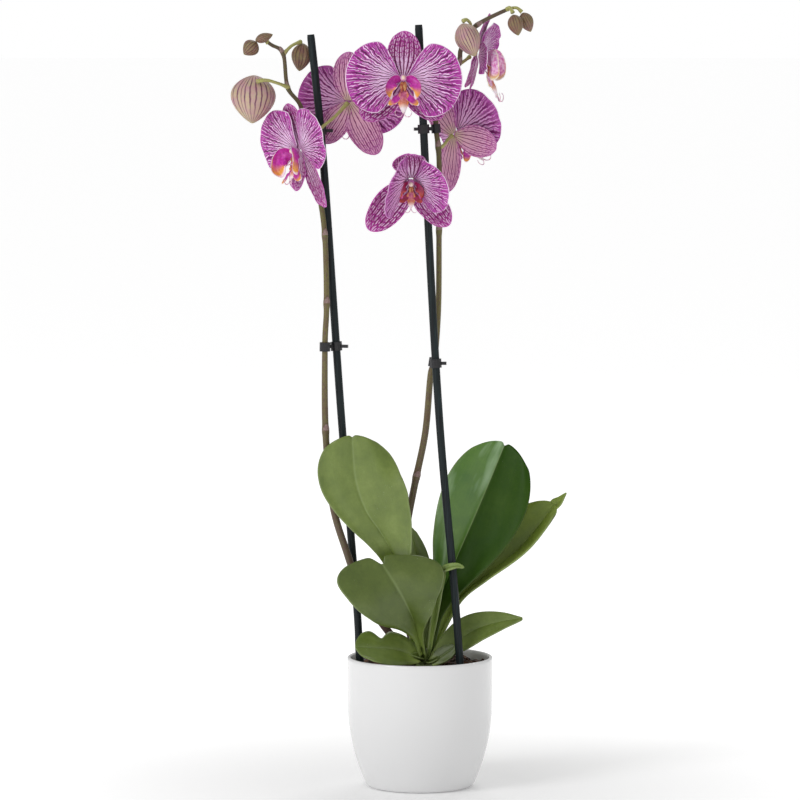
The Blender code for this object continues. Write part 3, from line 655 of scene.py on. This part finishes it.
stalkLines = {
    "spike_left": [
        [(-98, 0, 566), (-99, -3, 569), (-103.9, -11.9, 573.9)],
        [(-100, 0, 581), (-93, -5, 590), (-86, -3, 597), (-76, 4, 605), (-65.1, 16.1, 616.5)],
        [(-118, -2, 631), (-127, -15, 635), (-137, -23, 638), (-146, -24.6, 637)],
        [(-122, -2, 661), (-115, 5, 668), (-107, 14, 671.5)],
        [(-136, -3, 671), (-141, -4, 674.5), (-145.7, -4.2, 673)]],
    "spike_right": [
        [(17, 0, 547), (16, -12, 548), (7, -26, 550), (-5.5, -34.4, 552.2)],
        [(16.5, 1, 576), (21, 2, 579), (25, 7, 584), (28.6, 12.9, 587.2)],
        [(17.5, 2, 616), (13, -10, 624), (2, -16.5, 633), (-13.4, -18.5, 640)],
        [(34, 2, 651), (39, 5, 654), (44.5, 12, 658)],
        [(45.5, 0.2, 679.5), (45, -5, 687.5), (41.5, -11, 691.5), (38.2, -14.3, 690.3)],
        [(78, -2, 700.8), (80, -6.5, 702.3), (82.6, -10.4, 697.8)],
        [(78, -2, 701), (86, -3, 702), (90.8, -2.5, 698.3)]],
}
# rings and bracts on the stems, by height in millimetres
spikeRings = {"spike_left": (322, 436, 498, 570, 631, 661),
              "spike_right": (278, 386, 502, 576, 616, 651, 686)}


def rod(path, radiusAt, sides, stations):
    # rings along the path, bridged
    bm = bmesh.new()
    across = path(0.0)[1].orthogonal()
    last = None
    for number in range(stations + 1):
        share = number / stations
        centre, along = path(share)
        across = (across - along * across.dot(along)).normalized()
        turn = Matrix((across, along.cross(across), along)).transposed().to_4x4()
        ring = bmesh.ops.create_circle(bm, cap_ends=number in (0, stations), segments=sides,
                                       radius=radiusAt(share) * 0.001,
                                       matrix=Matrix.Translation(centre) @ turn)["verts"]
        edges = [e for e in bm.edges if e.verts[0] in ring and e.verts[1] in ring]
        if last:
            bmesh.ops.bridge_loops(bm, edges=last + edges)
        last = edges
    bmesh.ops.recalc_face_normals(bm, faces=bm.faces)
    return bm


def stakeMaterial():
    made, tree, shader = newMaterial("stakeCoat")
    coordinates = objectPlace(tree)
    streaked = wire(tree, "ShaderNodeMapping", {"Vector": coordinates,
                                                "Scale": (900.0, 900.0, 14.0)}).outputs[0]
    streak = noiseOf(tree, streaked, 1.0, 3.0, 0.6)
    tree.links.new(rampOf(tree, streak, [(0.35, stakeLook["black"]), (0.62, stakeLook["sheen"]),
                                         (0.8, (0.030, 0.050, 0.055))]), shader.inputs["Base Color"])
    tree.links.new(rampOf(tree, streak, [(0.3, 0.38), (0.7, 0.55)]), shader.inputs["Roughness"])
    shader.inputs["Specular IOR Level"].default_value = 0.25
    bumpFrom(tree, shader, streak, 0.3, 0.0004)
    return made


def makeStakes():
    finish = stakeMaterial()
    for name, points in stakeLines.items():
        path = pathOf(smoothLine(points))

        def thick(share):
            return stakeLook["radius"] - (0.35 if share in (0.0, 1.0) else 0.0)
        bm = rod(path, thick, stakeLook["sides"], 160)
        pieceFrom("rod_" + name, bm, finish, name, angle=50)


def stemMaterial():
    made, tree, shader = newMaterial("stemSkin")
    place = objectPlace(tree)
    height = wire(tree, "ShaderNodeSeparateXYZ", {"Vector": place}).outputs[2]
    green = rampOf(tree, maths(tree, "MULTIPLY", height, 1.4),
                   [(0.17, (0.062, 0.034, 0.026)), (0.32, (0.105, 0.085, 0.035)),
                    (0.62, (0.150, 0.135, 0.032)), (0.80, (0.105, 0.108, 0.018)),
                    (0.97, (0.080, 0.062, 0.018))])
    stretched = wire(tree, "ShaderNodeMapping", {"Vector": place, "Scale": (1.0, 1.0, 0.45)}).outputs[0]
    speck = noiseOf(tree, stretched, 900.0, 4.0, 0.7)
    patch = noiseOf(tree, place, 60.0, 3.0)
    mottled = mixColour(tree, rampOf(tree, speck, [(0.46, 0.0), (0.60, 0.75)]), green, (0.10, 0.038, 0.050))
    brown = rampOf(tree, patch, [(0.5, 0.0), (0.75, 0.65)])
    tree.links.new(mixColour(tree, brown, mottled, (0.10, 0.050, 0.024)), shader.inputs["Base Color"])
    shader.inputs["Roughness"].default_value = 0.5
    bumpFrom(tree, shader, speck, 0.3, 0.0004)
    return made


def makeSpikes():
    stem, stalk, bract = stemMaterial(), plainMaterial("stalkSkin"), plainMaterial("bractSkin")
    for name, points in spikeLines.items():
        line = smoothLine(points)
        path = pathOf(line)
        heights = [path(n / 400)[0].z * 1000 for n in range(401)]
        rings = [bisect.bisect_left(heights, z) / 400 for z in spikeRings[name]]
        radii = spikeRadii[name]

        def thick(share):
            swell = sum(math.exp(-((share - r) / 0.006) ** 2) for r in rings)
            return between(radii, share) + 0.5 * swell
        bm = rod(path, thick, 14, 260)
        for points in stalkLines[name]:
            part = rod(pathOf(smoothLine(points)), lambda s: between((2.3, 1.5, 1.4, 1.5, 2.1), s), 12, 24)
            addPart(bm, part, 1)
        for share in rings:
            addBract(bm, path, share, between(radii, share))
        pieceFrom("stem_" + name, bm, [stem, stalk, bract], name)


def addBract(bm, path, share, radius):
    # a pale pointed scale that clasps the stem just above a ring
    centre, along = path(share)
    forward = Vector((0.35, -1, 0)).cross(along).cross(along).normalized() * -1
    if forward.y > 0:
        forward = -forward
    side = along.cross(forward)
    part = bmesh.new()
    bmesh.ops.create_grid(part, x_segments=8, y_segments=6, size=0.5)
    for vert in part.verts:
        u, v = vert.co.x + 0.5, vert.co.y * 2
        spread = (1 - u) ** 0.6 * 1.35
        reach = (radius + 0.35 + 0.9 * u * (1 - u)) * 0.001
        vert.co = (centre + along * (u * 0.0065) + forward * (math.cos(v * spread) * reach)
                   + side * (math.sin(v * spread) * reach))
    bmesh.ops.solidify(part, geom=part.faces[:], thickness=0.0003)
    bmesh.ops.recalc_face_normals(part, faces=part.faces)
    addPart(bm, part, 2)


makeStakes()
makeSpikes()
dress(plainMaterial("clipPlastic"), "clip_left_low", "clip_left_high", "clip_right_low", "clip_right_high")
print("stakes, spikes and clips made")


# Flowers

flowerShapes = {
    "flower_front": dict(
        centre=(-15, -24, 640), facing=(0, -1, -0.03), up=(0, 0, 1),
        dorsal=(88, 42, 15.5, -4, 4, 0), sepal_right=(-46, 50, 15, -6, -2, 0),
        sepal_left=(-135, 52, 16, -6, -2, 0),
        petal_right=(-4, 53, 33, 10, -4, 0), petal_left=(178, 52, 32, 10, -4, 0)),
    "flower_left": dict(
        centre=(-107, -16, 575), facing=(-0.80, -0.58, -0.12), up=(-0.1, 0.1, 1),
        dorsal=(96, 44, 16, 0, 8, 0), sepal_right=(-70, 57, 14, -4, 0, 10),
        sepal_left=(-126, 42, 12, -4, 0, 0),
        petal_right=(20, 50, 29, 10, 0, 0), petal_left=(150, 48, 30, 16, 8, 0),
        lip={"scale": 1.12, "lobe": 1.5, "tongue": 0.7}),
    "flower_left_back": dict(
        centre=(-64, 21, 617.5), facing=(0.04, 1, -0.05), up=(0, 0, 1),
        dorsal=(90, 45, 15, -2, 4, 0), sepal_right=(-58, 44, 13, -4, 0, 0),
        sepal_left=(-119, 54, 15, -4, 0, 0),
        petal_right=(176, 53, 31, 10, 0, 0), petal_left=(8, 47, 30, 10, 0, 0)),
    "flower_low": dict(
        centre=(-8, -38, 550), facing=(-0.02, -0.88, -0.47), up=(0, -0.47, 0.88),
        dorsal=(94, 34, 16, -4, 40, 0), sepal_right=(-49, 54, 14.5, 16, 18, 0),
        sepal_left=(-131, 60, 16, 16, 18, 0),
        petal_right=(6, 44, 27, 52, 26, 0), petal_left=(164, 46, 31, 64, 64, 6),
        lip={"scale": 0.74, "skin": "lipThroat"}, folded="petal_left"),
    "flower_right_back": dict(
        centre=(31, 17, 588), facing=(0.5, 0.84, 0.1), up=(-0.55, 0.25, 0.84),
        dorsal=(90, 42, 15, -2, 4, 0), sepal_right=(-43, 54, 12, -4, 0, 0),
        sepal_left=(-132, 46, 14.5, -4, 0, 0),
        petal_right=(182, 48, 30, 10, 0, 0), petal_left=(-4, 30, 19, 30, 50, 0)),
    "flower_right_top": dict(
        centre=(52, 12, 661), facing=(0.96, -0.18, -0.12), up=(0.15, 0, 1),
        dorsal=(88, 38, 13, 0, 24, 0), sepal_right=(-60, 40, 12, -6, -10, 0),
        sepal_left=(-112, 34, 9, -6, -10, 0),
        petal_right=(36, 38, 18, 16, 24, 0), petal_left=(-165, 27, 15, 30, 30, 0),
        lip={"scale": 1.2, "lobe": 1.45, "skin": "lipPale"}),
}


def flowerFrame(flower):
    out = Vector(flower["facing"]).normalized()
    right = Vector(flower["up"]).cross(out).normalized()
    up = out.cross(right)
    turn = Matrix((right, up, out)).transposed().to_4x4()
    return Matrix.Translation(mm(*flower["centre"])) @ turn


def flowerBlade(place, spec, start, height, **shape):
    # a petal or sepal that begins start millimetres from the flower's axis, at a height out of its face
    angle, length, halfWidth, lift, tipLift, twist = spec
    radial = Vector((math.cos(math.radians(angle)), math.sin(math.radians(angle)), 0))
    out = Vector((0, 0, 1))
    steps = 24
    run = (length - start) / steps
    point = radial * start + out * height
    points, normals = [point], []
    for step in range(steps):
        lean = math.radians(lift + (tipLift - lift) * step / steps)
        along = radial * math.cos(lean) + out * math.sin(lean)
        normal = out * math.cos(lean) - radial * math.sin(lean)
        normals.append(Matrix.Rotation(math.radians(twist), 3, along) @ normal)
        point = point + along * run
        points.append(point)
    bm = blade(pathOf([p * 0.001 for p in points]), normals, halfWidth, **shape)
    bmesh.ops.transform(bm, matrix=place, verts=bm.verts)
    return bm


petalLooks = {
    "petalFront": {"pale": (0.84, 0.60, 0.83), "far": (0.90, 0.64, 0.88), "net": (0.44, 0.045, 0.36),
                   "main": (0.13, 0.005, 0.095), "rim": (0.90, 0.78, 0.90), "foot": (0.76, 0.52, 0.76),
                   "mains": 16, "mainWidth": 0.085, "cells": (4.5, 48.0), "grow": (-0.02, 0.14),
                   "fan": 0.66, "strokes": (54.0, -0.12, 0.60)},
    "petalBack": {"pale": (0.80, 0.46, 0.74), "far": (0.72, 0.34, 0.66), "net": (0.44, 0.07, 0.37),
                  "main": (0.17, 0.010, 0.12), "rim": (0.66, 0.40, 0.62), "foot": (0.78, 0.50, 0.68),
                  "mains": 12, "mainWidth": 0.09, "cells": (4.5, 48.0), "grow": (-0.08, 0.12), "fan": 0.66,
                  "strokes": (46.0, -0.6, 0.52)},
    "sepalFront": {"pale": (0.74, 0.50, 0.72), "far": (0.72, 0.40, 0.66), "net": (0.36, 0.022, 0.26),
                   "main": (0.15, 0.006, 0.085), "rim": (0.58, 0.16, 0.50), "foot": (0.76, 0.55, 0.74),
                   "mains": 7, "mainWidth": 0.12, "cells": (9.0, 13.0), "grow": (0.00, 0.22), "fan": 0.0},
    "sepalBack": {"pale": (0.70, 0.40, 0.50), "far": (0.68, 0.32, 0.54), "net": (0.42, 0.10, 0.32),
                  "main": (0.20, 0.020, 0.12), "rim": (0.52, 0.12, 0.42), "foot": (0.60, 0.48, 0.34),
                  "mains": 7, "mainWidth": 0.07, "cells": (9.0, 14.0), "grow": (-0.12, 0.15), "fan": 0.0},
}


def veinMaterial(name):
    look = petalLooks[name]
    made, tree, shader = newMaterial(name)
    coordinates = wire(tree, "ShaderNodeTexCoord")
    uv = wire(tree, "ShaderNodeSeparateXYZ", {"Vector": coordinates.outputs["UV"]})
    seedling = wire(tree, "ShaderNodeVectorMath",
                    {0: coordinates.outputs["UV"], 1: coordinates.outputs["Object"]},
                    operation="ADD").outputs[0]
    wobble = wire(tree, "ShaderNodeTexNoise", {"Vector": seedling, "Scale": 9.0, "Detail": 2.0})
    shift = wire(tree, "ShaderNodeSeparateXYZ", {"Vector": wobble.outputs["Color"]})
    u = maths(tree, "ADD", uv.outputs[0], maths(tree, "MULTIPLY_ADD", shift.outputs[0], 0.06, -0.03))
    v = maths(tree, "ADD", uv.outputs[1], maths(tree, "MULTIPLY_ADD", shift.outputs[1], 0.07, -0.035))
    across = maths(tree, "ABSOLUTE", maths(tree, "MULTIPLY_ADD", uv.outputs[1], 2.0, -1.0))
    edge = maths(tree, "MAXIMUM", across, uv.outputs[0])
    if look["fan"]:
        # distance and angle from the foot, so that the veins spread to the whole margin
        width = rampOf(tree, u, [(0.0, 0.09), (0.1, 0.37), (0.2, 0.63), (0.3, 0.83), (0.45, 1.0),
                                 (0.75, 0.93), (1.0, 0.69)])
        aside = maths(tree, "MULTIPLY", maths(tree, "MULTIPLY_ADD", v, 2.0, -1.0),
                      maths(tree, "MULTIPLY", width, look["fan"]))
        ahead = maths(tree, "ADD", u, 0.04)
        v = maths(tree, "MULTIPLY_ADD", maths(tree, "ARCTAN2", aside, ahead), 0.42, 0.5)
        u = maths(tree, "SQRT", maths(tree, "ADD", maths(tree, "MULTIPLY", ahead, ahead),
                                      maths(tree, "MULTIPLY", aside, aside)))
    # a net of long cells whose lines widen towards the margin
    cell = wire(tree, "ShaderNodeCombineXYZ",
                {"X": maths(tree, "MULTIPLY", u, look["cells"][0]),
                 "Y": maths(tree, "MULTIPLY", v, look["cells"][1])}).outputs[0]
    gap = wire(tree, "ShaderNodeTexVoronoi", {"Vector": cell, "Scale": 1.0, "Randomness": 0.85},
               feature="DISTANCE_TO_EDGE", voronoi_dimensions="2D").outputs[0]
    low, high = look["grow"]
    reach = rampOf(tree, edge, [(0.30, 0.0), (0.97, 1.0)])
    width = maths(tree, "MULTIPLY_ADD", reach, high - low, low)
    net = maths(tree, "MULTIPLY_ADD", maths(tree, "SUBTRACT", width, gap), 12.0, 0.6, clamp=True)
    if look["fan"]:
        # pale strokes between fine veins, thinner towards the margin and broken here and there
        count, thinnest, widest = look["strokes"]
        stroke = maths(tree, "FRACT", maths(tree, "MULTIPLY", v, count))
        stroke = maths(tree, "MULTIPLY", maths(tree, "ABSOLUTE", maths(tree, "SUBTRACT", stroke, 0.5)), 2.0)
        broken = rampOf(tree, noiseOf(tree, cell, 0.8, 2.0, 0.6), [(0.35, 0.0), (0.70, 0.5)])
        width = maths(tree, "ADD", maths(tree, "MULTIPLY_ADD", reach, widest - thinnest, thinnest), broken)
        strokes = maths(tree, "MULTIPLY_ADD", maths(tree, "SUBTRACT", width, stroke), 5.0, 0.5, clamp=True)
        net = maths(tree, "MAXIMUM", net, strokes)
    # long veins, twice as many in the outer half
    lines = []
    for count, offset in ((look["mains"], 0.0), (look["mains"] * 2, 0.5)):
        along = maths(tree, "FRACT", maths(tree, "MULTIPLY_ADD", v, count, offset))
        lines.append(maths(tree, "ABSOLUTE", maths(tree, "SUBTRACT", along, 0.5)))
    thin = look["mainWidth"]
    first = rampOf(tree, lines[0], [(thin, 1.0), (thin * 2.2, 0.0)])
    second = rampOf(tree, lines[1], [(thin * 1.2, 1.0), (thin * 2.8, 0.0)])
    split = rampOf(tree, u, [(0.36, 0.0), (0.50, 0.8)])
    mains = maths(tree, "MAXIMUM", first, maths(tree, "MULTIPLY", second, split), clamp=True)
    fade = rampOf(tree, edge, [(0.80, 1.0), (0.97, 0.25)])
    mains = maths(tree, "MULTIPLY", mains, fade)
    pale = mixColour(tree, reach, look["pale"], look["far"])
    pale = mixColour(tree, rampOf(tree, uv.outputs[0], [(0.03, 1.0), (0.26, 0.0)]), pale, look["foot"])
    netted = mixColour(tree, net, pale, look["net"])
    veined = mixColour(tree, mains, netted, look["main"])
    tree.links.new(mixColour(tree, rampOf(tree, edge, [(0.978, 0.0), (0.996, 0.9)]), veined, look["rim"]),
                   shader.inputs["Base Color"])
    feed(tree, shader, {"Roughness": 0.6, "Specular IOR Level": 0.3, "Subsurface Weight": 0.06,
                        "Subsurface Scale": 0.001})
    bumpFrom(tree, shader, net, 0.2, 0.00006)
    return made


lipLooks = {
    "lipLobe": {"body": ((0.42, 0.010, 0.27), (0.58, 0.045, 0.42)), "orange": (0.80, 0.36, 0.04),
                "rim": (0.88, 0.72, 0.82), "orangeFrom": 0.45, "band": (0.62, 0.86)},
    "lipTongue": {"body": ((0.36, 0.030, 0.10), (0.62, 0.16, 0.30)), "orange": (0.78, 0.32, 0.05),
                  "rim": (0.88, 0.76, 0.80), "orangeFrom": 0.25, "band": (0.45, 0.85), "tip": (0.66, 0.84)},
    "lipThroat": {"body": ((0.20, 0.004, 0.03), (0.42, 0.015, 0.12)), "orange": (0.50, 0.06, 0.02),
                  "rim": (0.62, 0.10, 0.36), "orangeFrom": 0.35, "band": (0.55, 0.90)},
    "lipPale": {"body": ((0.60, 0.12, 0.42), (0.86, 0.62, 0.80)), "orange": (0.80, 0.52, 0.10),
                "rim": (0.88, 0.78, 0.66), "orangeFrom": 0.62, "band": (0.80, 0.93)},
}
# millimetres in the flower's own frame: x to its right, y up, z out of its face
lipShapes = {
    "lobe": {"line": [(2.2, -1.5, 4.6), (8.5, 0.5, 9.5), (14.5, -4.5, 13.5), (15.0, -12.0, 15.0),
                      (10.5, -18.5, 14.0)],
             "faces": [(-0.3, -0.5, 0.8), (-0.6, -0.1, 0.8), (-0.7, 0.2, 0.7), (-0.6, 0.5, 0.6)],
             "halfWidth": 7.0},
    "tooth": {"line": [(2.0, -13.0, 9.5), (7.0, -18.5, 12.5), (14.0, -23.5, 14.5)],
              "faces": [(0.2, 0.5, 0.8), (0.2, 0.5, 0.8)], "halfWidth": 3.8},
    "tongue": {"line": [(0, -4.0, 5.0), (0, -10.5, 8.5), (0, -18.0, 13.5), (0, -24.5, 17.5),
                        (0, -31.0, 18.5)],
               "faces": [(0, 0.35, 1.0), (0, 0.75, 0.7), (0, 0.6, 0.8), (0, 0.2, 1.0)], "halfWidth": 5.6},
    "callus": [(0, -3.5, 6.5), (0, -7.5, 9.5), (0, -11.5, 11.0)],
    "tendril": [(0.3, -30.0, 19.0), (2.2, -33.0, 20.5), (5.5, -33.0, 22.0), (7.5, -29.5, 22.0),
                (6.0, -27.0, 20.5)],
}


def lipMaterial(name):
    look = lipLooks[name]
    made, tree, shader = newMaterial(name)
    place, u, _, across = bladePlace(tree)
    cloud = noiseOf(tree, place, 420.0, 3.0)
    body = rampOf(tree, cloud, [(0.35, look["body"][0]), (0.65, look["body"][1])])
    edge = maths(tree, "MAXIMUM", across, u)
    low = look["orangeFrom"]
    band = maths(tree, "MULTIPLY", rampOf(tree, edge, [(look["band"][0], 0.0), (look["band"][1], 1.0)]),
                 rampOf(tree, u, [(low, 0.0), (low + 0.2, 1.0)]))
    orange = mixColour(tree, band, body, look["orange"])
    freckle = rampOf(tree, noiseOf(tree, place, 1100.0, 2.0), [(0.58, 0.0), (0.66, 0.8)])
    orange = mixColour(tree, maths(tree, "MULTIPLY", freckle, band), orange, (0.35, 0.02, 0.04))
    # pale at the tip only, or else all along the margin
    start, full = look.get("tip", (0.90, 0.96))
    white = rampOf(tree, u if "tip" in look else edge, [(start, 0.0), (full, 1.0)])
    tree.links.new(mixColour(tree, white, orange, look["rim"]), shader.inputs["Base Color"])
    feed(tree, shader, {"Roughness": 0.4, "Subsurface Weight": 0.1, "Subsurface Scale": 0.001})
    return made


def makeLip(place, name, finishes, seed, scale=1.0, lobeWidth=1.0, tongueLength=1.0):
    bm = bmesh.new()
    bm.loops.layers.uv.new("UVMap")
    lobe, tooth, tongue = lipShapes["lobe"], lipShapes["tooth"], lipShapes["tongue"]
    for sign in (1, -1):
        flip = Vector((sign, 1, 1))
        skew = [sign * share for share in (0, 0.35, 0.45, 0.25)]
        lobeForm = dict(claw=0.35, peak=0.5, fold=(10, 28, 20), curl=(20, 40, 30), skew=skew, rows=20,
                        columns=14, ruffle=0.8, waves=4.0, seed=seed)
        toothForm = dict(claw=0.5, peak=0.6, point=0.6, rows=12, columns=8, ruffle=1.6, waves=9.0,
                         seed=seed + 1)
        for shape, wider, form in ((lobe, lobeWidth, lobeForm), (tooth, 1.0, toothForm)):
            part = blade(pathOf(smoothLine([Vector(p) * flip for p in shape["line"]])),
                         [Vector(f) * flip for f in shape["faces"]], shape["halfWidth"] * wider, **form)
            bmesh.ops.solidify(part, geom=part.faces[:], thickness=0.0007)
            addPart(bm, part, 0)
    root = Vector(tongue["line"][0])
    line = [root + (Vector(p) - root) * tongueLength for p in tongue["line"]]
    part = blade(pathOf(smoothLine(line)), tongue["faces"], tongue["halfWidth"], claw=0.35, start=0.1,
                 peak=0.56, power=1.6, point=1.0, fold=(30, 10, -20, -10), curl=(30, 0, -30, 0), rows=26,
                 columns=16, ruffle=2.2, waves=6.0, seed=seed + 2)
    bmesh.ops.solidify(part, geom=part.faces[:], thickness=0.0008)
    addPart(bm, part, 1)
    for points, radii, finish in ((lipShapes["callus"], (1.2, 2.3, 0.6), 2),
                                  (lipShapes["tendril"], (0.55, 0.4, 0.25), 3)):
        for sign in (1, -1):
            shift = 1.3 * sign if finish == 2 else 0.0
            line = [(sign * x + shift, y, z) for x, y, z in points]
            line = [root + (Vector(p) - root) * tongueLength for p in line]
            addPart(bm, rod(pathOf(smoothLine(line)), lambda s: between(radii, s), 10, 18), finish)
    bmesh.ops.transform(bm, matrix=place @ Matrix.Scale(scale, 4), verts=bm.verts)
    lip = pieceFrom(name.replace("flower", "lip"), bm, finishes, name + "_lip")
    soften(lip)


def makeColumn(place, name, finishes):
    bm = bmesh.new()
    bm.loops.layers.uv.new("UVMap")
    stem = rod(pathOf([mm(0, 0, 1.9), mm(0, 0.2, 4), mm(0, 0.5, 8), mm(0, 0.6, 9.5)]),
               lambda s: between((2.0, 2.7, 3.0, 2.9, 2.3), s), 20, 16)
    addPart(bm, stem, 0)
    cap = bmesh.new()
    bmesh.ops.create_uvsphere(cap, u_segments=20, v_segments=12, radius=0.0021)
    bmesh.ops.translate(cap, verts=cap.verts, vec=mm(0, 0.9, 9.4))
    addPart(bm, cap, 1)
    bmesh.ops.transform(bm, matrix=place, verts=bm.verts)
    column = pieceFrom(name.replace("flower", "column"), bm, finishes, name + "_column")
    soften(column)


sepalThickness = 0.9
petalThickness = 0.8


def makeFlowers():
    petalFinish = [veinMaterial("petalBack"), veinMaterial("petalFront")]
    sepalFinish = [veinMaterial("sepalBack"), veinMaterial("sepalFront")]
    columnFinish = [plainMaterial("columnFlesh"), plainMaterial("columnCap")]
    lipFinish = [lipMaterial("lipLobe"), lipMaterial("lipTongue"), plainMaterial("callusFlesh"),
                 plainMaterial("tendrilFlesh")]
    for number, (name, flower) in enumerate(flowerShapes.items()):
        place = flowerFrame(flower)
        bm = bmesh.new()
        bm.loops.layers.uv.new("UVMap")
        for key in ("dorsal", "sepal_left", "sepal_right"):
            part = flowerBlade(place, flower[key], 1.0, -1.2, claw=0.22, fold=(0, 4), curl=(0, 6), rows=32,
                               columns=18, ruffle=1.6, waves=3.0, groove=0.5, seed=number * 5.3 + len(key))
            joinInto(bm, part)
        sepals = pieceFrom(name.replace("flower", "sepals"), bm, sepalFinish, name + "_sepals")
        thicken(sepals, sepalThickness)
        soften(sepals)
        for key in ("petal_left", "petal_right"):
            bm = flowerBlade(place, flower[key], 4.0, 1.4, claw=0.09, peak=0.5, fold=(0, 3), curl=(0, -4),
                             rows=36, columns=32, ruffle=2.6, waves=3.4, seed=number * 2.9 + len(key))
            # a petal folded forward shows its paler back
            finish = petalFinish[::-1] if flower.get("folded") == key else petalFinish
            petal = pieceFrom(name.replace("flower", key.replace("_", "")), bm, finish, name + "_" + key)
            thicken(petal, petalThickness)
            soften(petal)
        lip = flower.get("lip", {})
        lobeFinish = lipMaterial(lip["skin"]) if "skin" in lip else lipFinish[0]
        makeLip(place, name, [lobeFinish] + lipFinish[1:], number * 1.7, lip.get("scale", 1.0),
                lip.get("lobe", 1.0), lip.get("tongue", 1.0))
        makeColumn(place, name, columnFinish)


makeFlowers()
print("flowers made")


# Buds: where each one hangs from, its tip and its greatest radius

budShapes = {
    "bud_left_large": ((-148, -6, 642), (-150, -9, 599), 21.5),
    "bud_left_upper": ((-105, 17, 670), (-108.5, 17, 645), 9.7),
    "bud_left_tip_a": ((-146, -4.5, 671.5), (-157.5, -6, 660.5), 8),
    "bud_left_tip_b": ((-147, -10.3, 672.8), (-131.5, -10.7, 678.4), 4.5),
    "bud_right_upper": ((37, -15.5, 688), (49, -17, 659), 11.8),
    "bud_right_tip_a": ((83, -11, 696), (87.5, -14, 677.5), 7.3),
    "bud_right_tip_b": ((91.5, -2, 697.5), (99, 2, 680.5), 6.8),
}
budLooks = {
    "budSkin": {"cream": (0.50, 0.40, 0.25), "pink": (0.48, 0.26, 0.29), "vein": (0.12, 0.018, 0.075),
                "green": (0.34, 0.33, 0.12), "lines": 24.0},
    "smallBudSkin": {"cream": (0.23, 0.17, 0.075), "pink": (0.22, 0.10, 0.085), "vein": (0.07, 0.018, 0.03),
                     "green": (0.20, 0.22, 0.05), "lines": 16.0},
}


def budMaterial(name):
    look = budLooks[name]
    made, tree, shader = newMaterial(name)
    coordinates = wire(tree, "ShaderNodeTexCoord")
    place = coordinates.outputs["Object"]
    uv = wire(tree, "ShaderNodeSeparateXYZ", {"Vector": coordinates.outputs["UV"]})
    cloud = noiseOf(tree, place, 110.0, 3.0)
    body = rampOf(tree, cloud, [(0.35, look["cream"]), (0.7, look["pink"])])
    wobble = maths(tree, "MULTIPLY_ADD", noiseOf(tree, place, 130.0, 2.0), 0.5, -0.25)
    around = maths(tree, "ADD", maths(tree, "MULTIPLY", uv.outputs[0], look["lines"]), wobble)
    line = maths(tree, "ABSOLUTE", maths(tree, "SUBTRACT", maths(tree, "FRACT", around), 0.5))
    vein = rampOf(tree, line, [(0.05, 1.0), (0.21, 0.0)])
    reach = rampOf(tree, uv.outputs[1], [(0.06, 0.0), (0.2, 1.0)])
    # stronger on some sides than on others
    side = rampOf(tree, noiseOf(tree, place, 45.0, 1.0), [(0.35, 0.55), (0.6, 1.0)])
    vein = maths(tree, "MULTIPLY", vein, side)
    colour = mixColour(tree, maths(tree, "MULTIPLY", vein, reach), body, look["vein"])
    colour = mixColour(tree, rampOf(tree, uv.outputs[1], [(0.02, 0.8), (0.25, 0.0)]), colour,
                       look["green"])
    tree.links.new(colour, shader.inputs["Base Color"])
    feed(tree, shader, {"Roughness": 0.55, "Subsurface Weight": 0.12, "Subsurface Scale": 0.003})
    bumpFrom(tree, shader, vein, 0.3, 0.0001)
    return made


def makeBuds():
    big, small = budMaterial("budSkin"), budMaterial("smallBudSkin")
    for number, (name, (top, tip, radius)) in enumerate(budShapes.items()):
        finish = small if radius < 11 else big
        top, tip = mm(*top), mm(*tip)
        axis = (tip - top).normalized()
        long = (tip - top).length
        bm = bmesh.new()
        bm.loops.layers.uv.new("UVMap")
        bmesh.ops.create_uvsphere(bm, u_segments=48, v_segments=32, radius=1.0, calc_uvs=True)
        across = axis.orthogonal().normalized()
        other = axis.cross(across)
        for vert in bm.verts:
            x, y, z = vert.co
            depth = (1 - z) / 2
            angle = math.atan2(y, x)
            seam = 0.15 * abs(math.cos(1.5 * (angle + number))) ** 8
            full = math.sin(math.pi * min(1.0, depth) ** 0.85) ** 0.72 * (1 - 0.10 * depth)
            ring = radius * 0.001 * full * (1.0 - seam)
            vert.co = (top + axis * (long * depth) + across * (math.cos(angle) * ring)
                       + other * (math.sin(angle) * ring))
        bmesh.ops.recalc_face_normals(bm, faces=bm.faces)
        pieceFrom("skin_" + name, bm, finish, name)


makeBuds()
print("buds made")
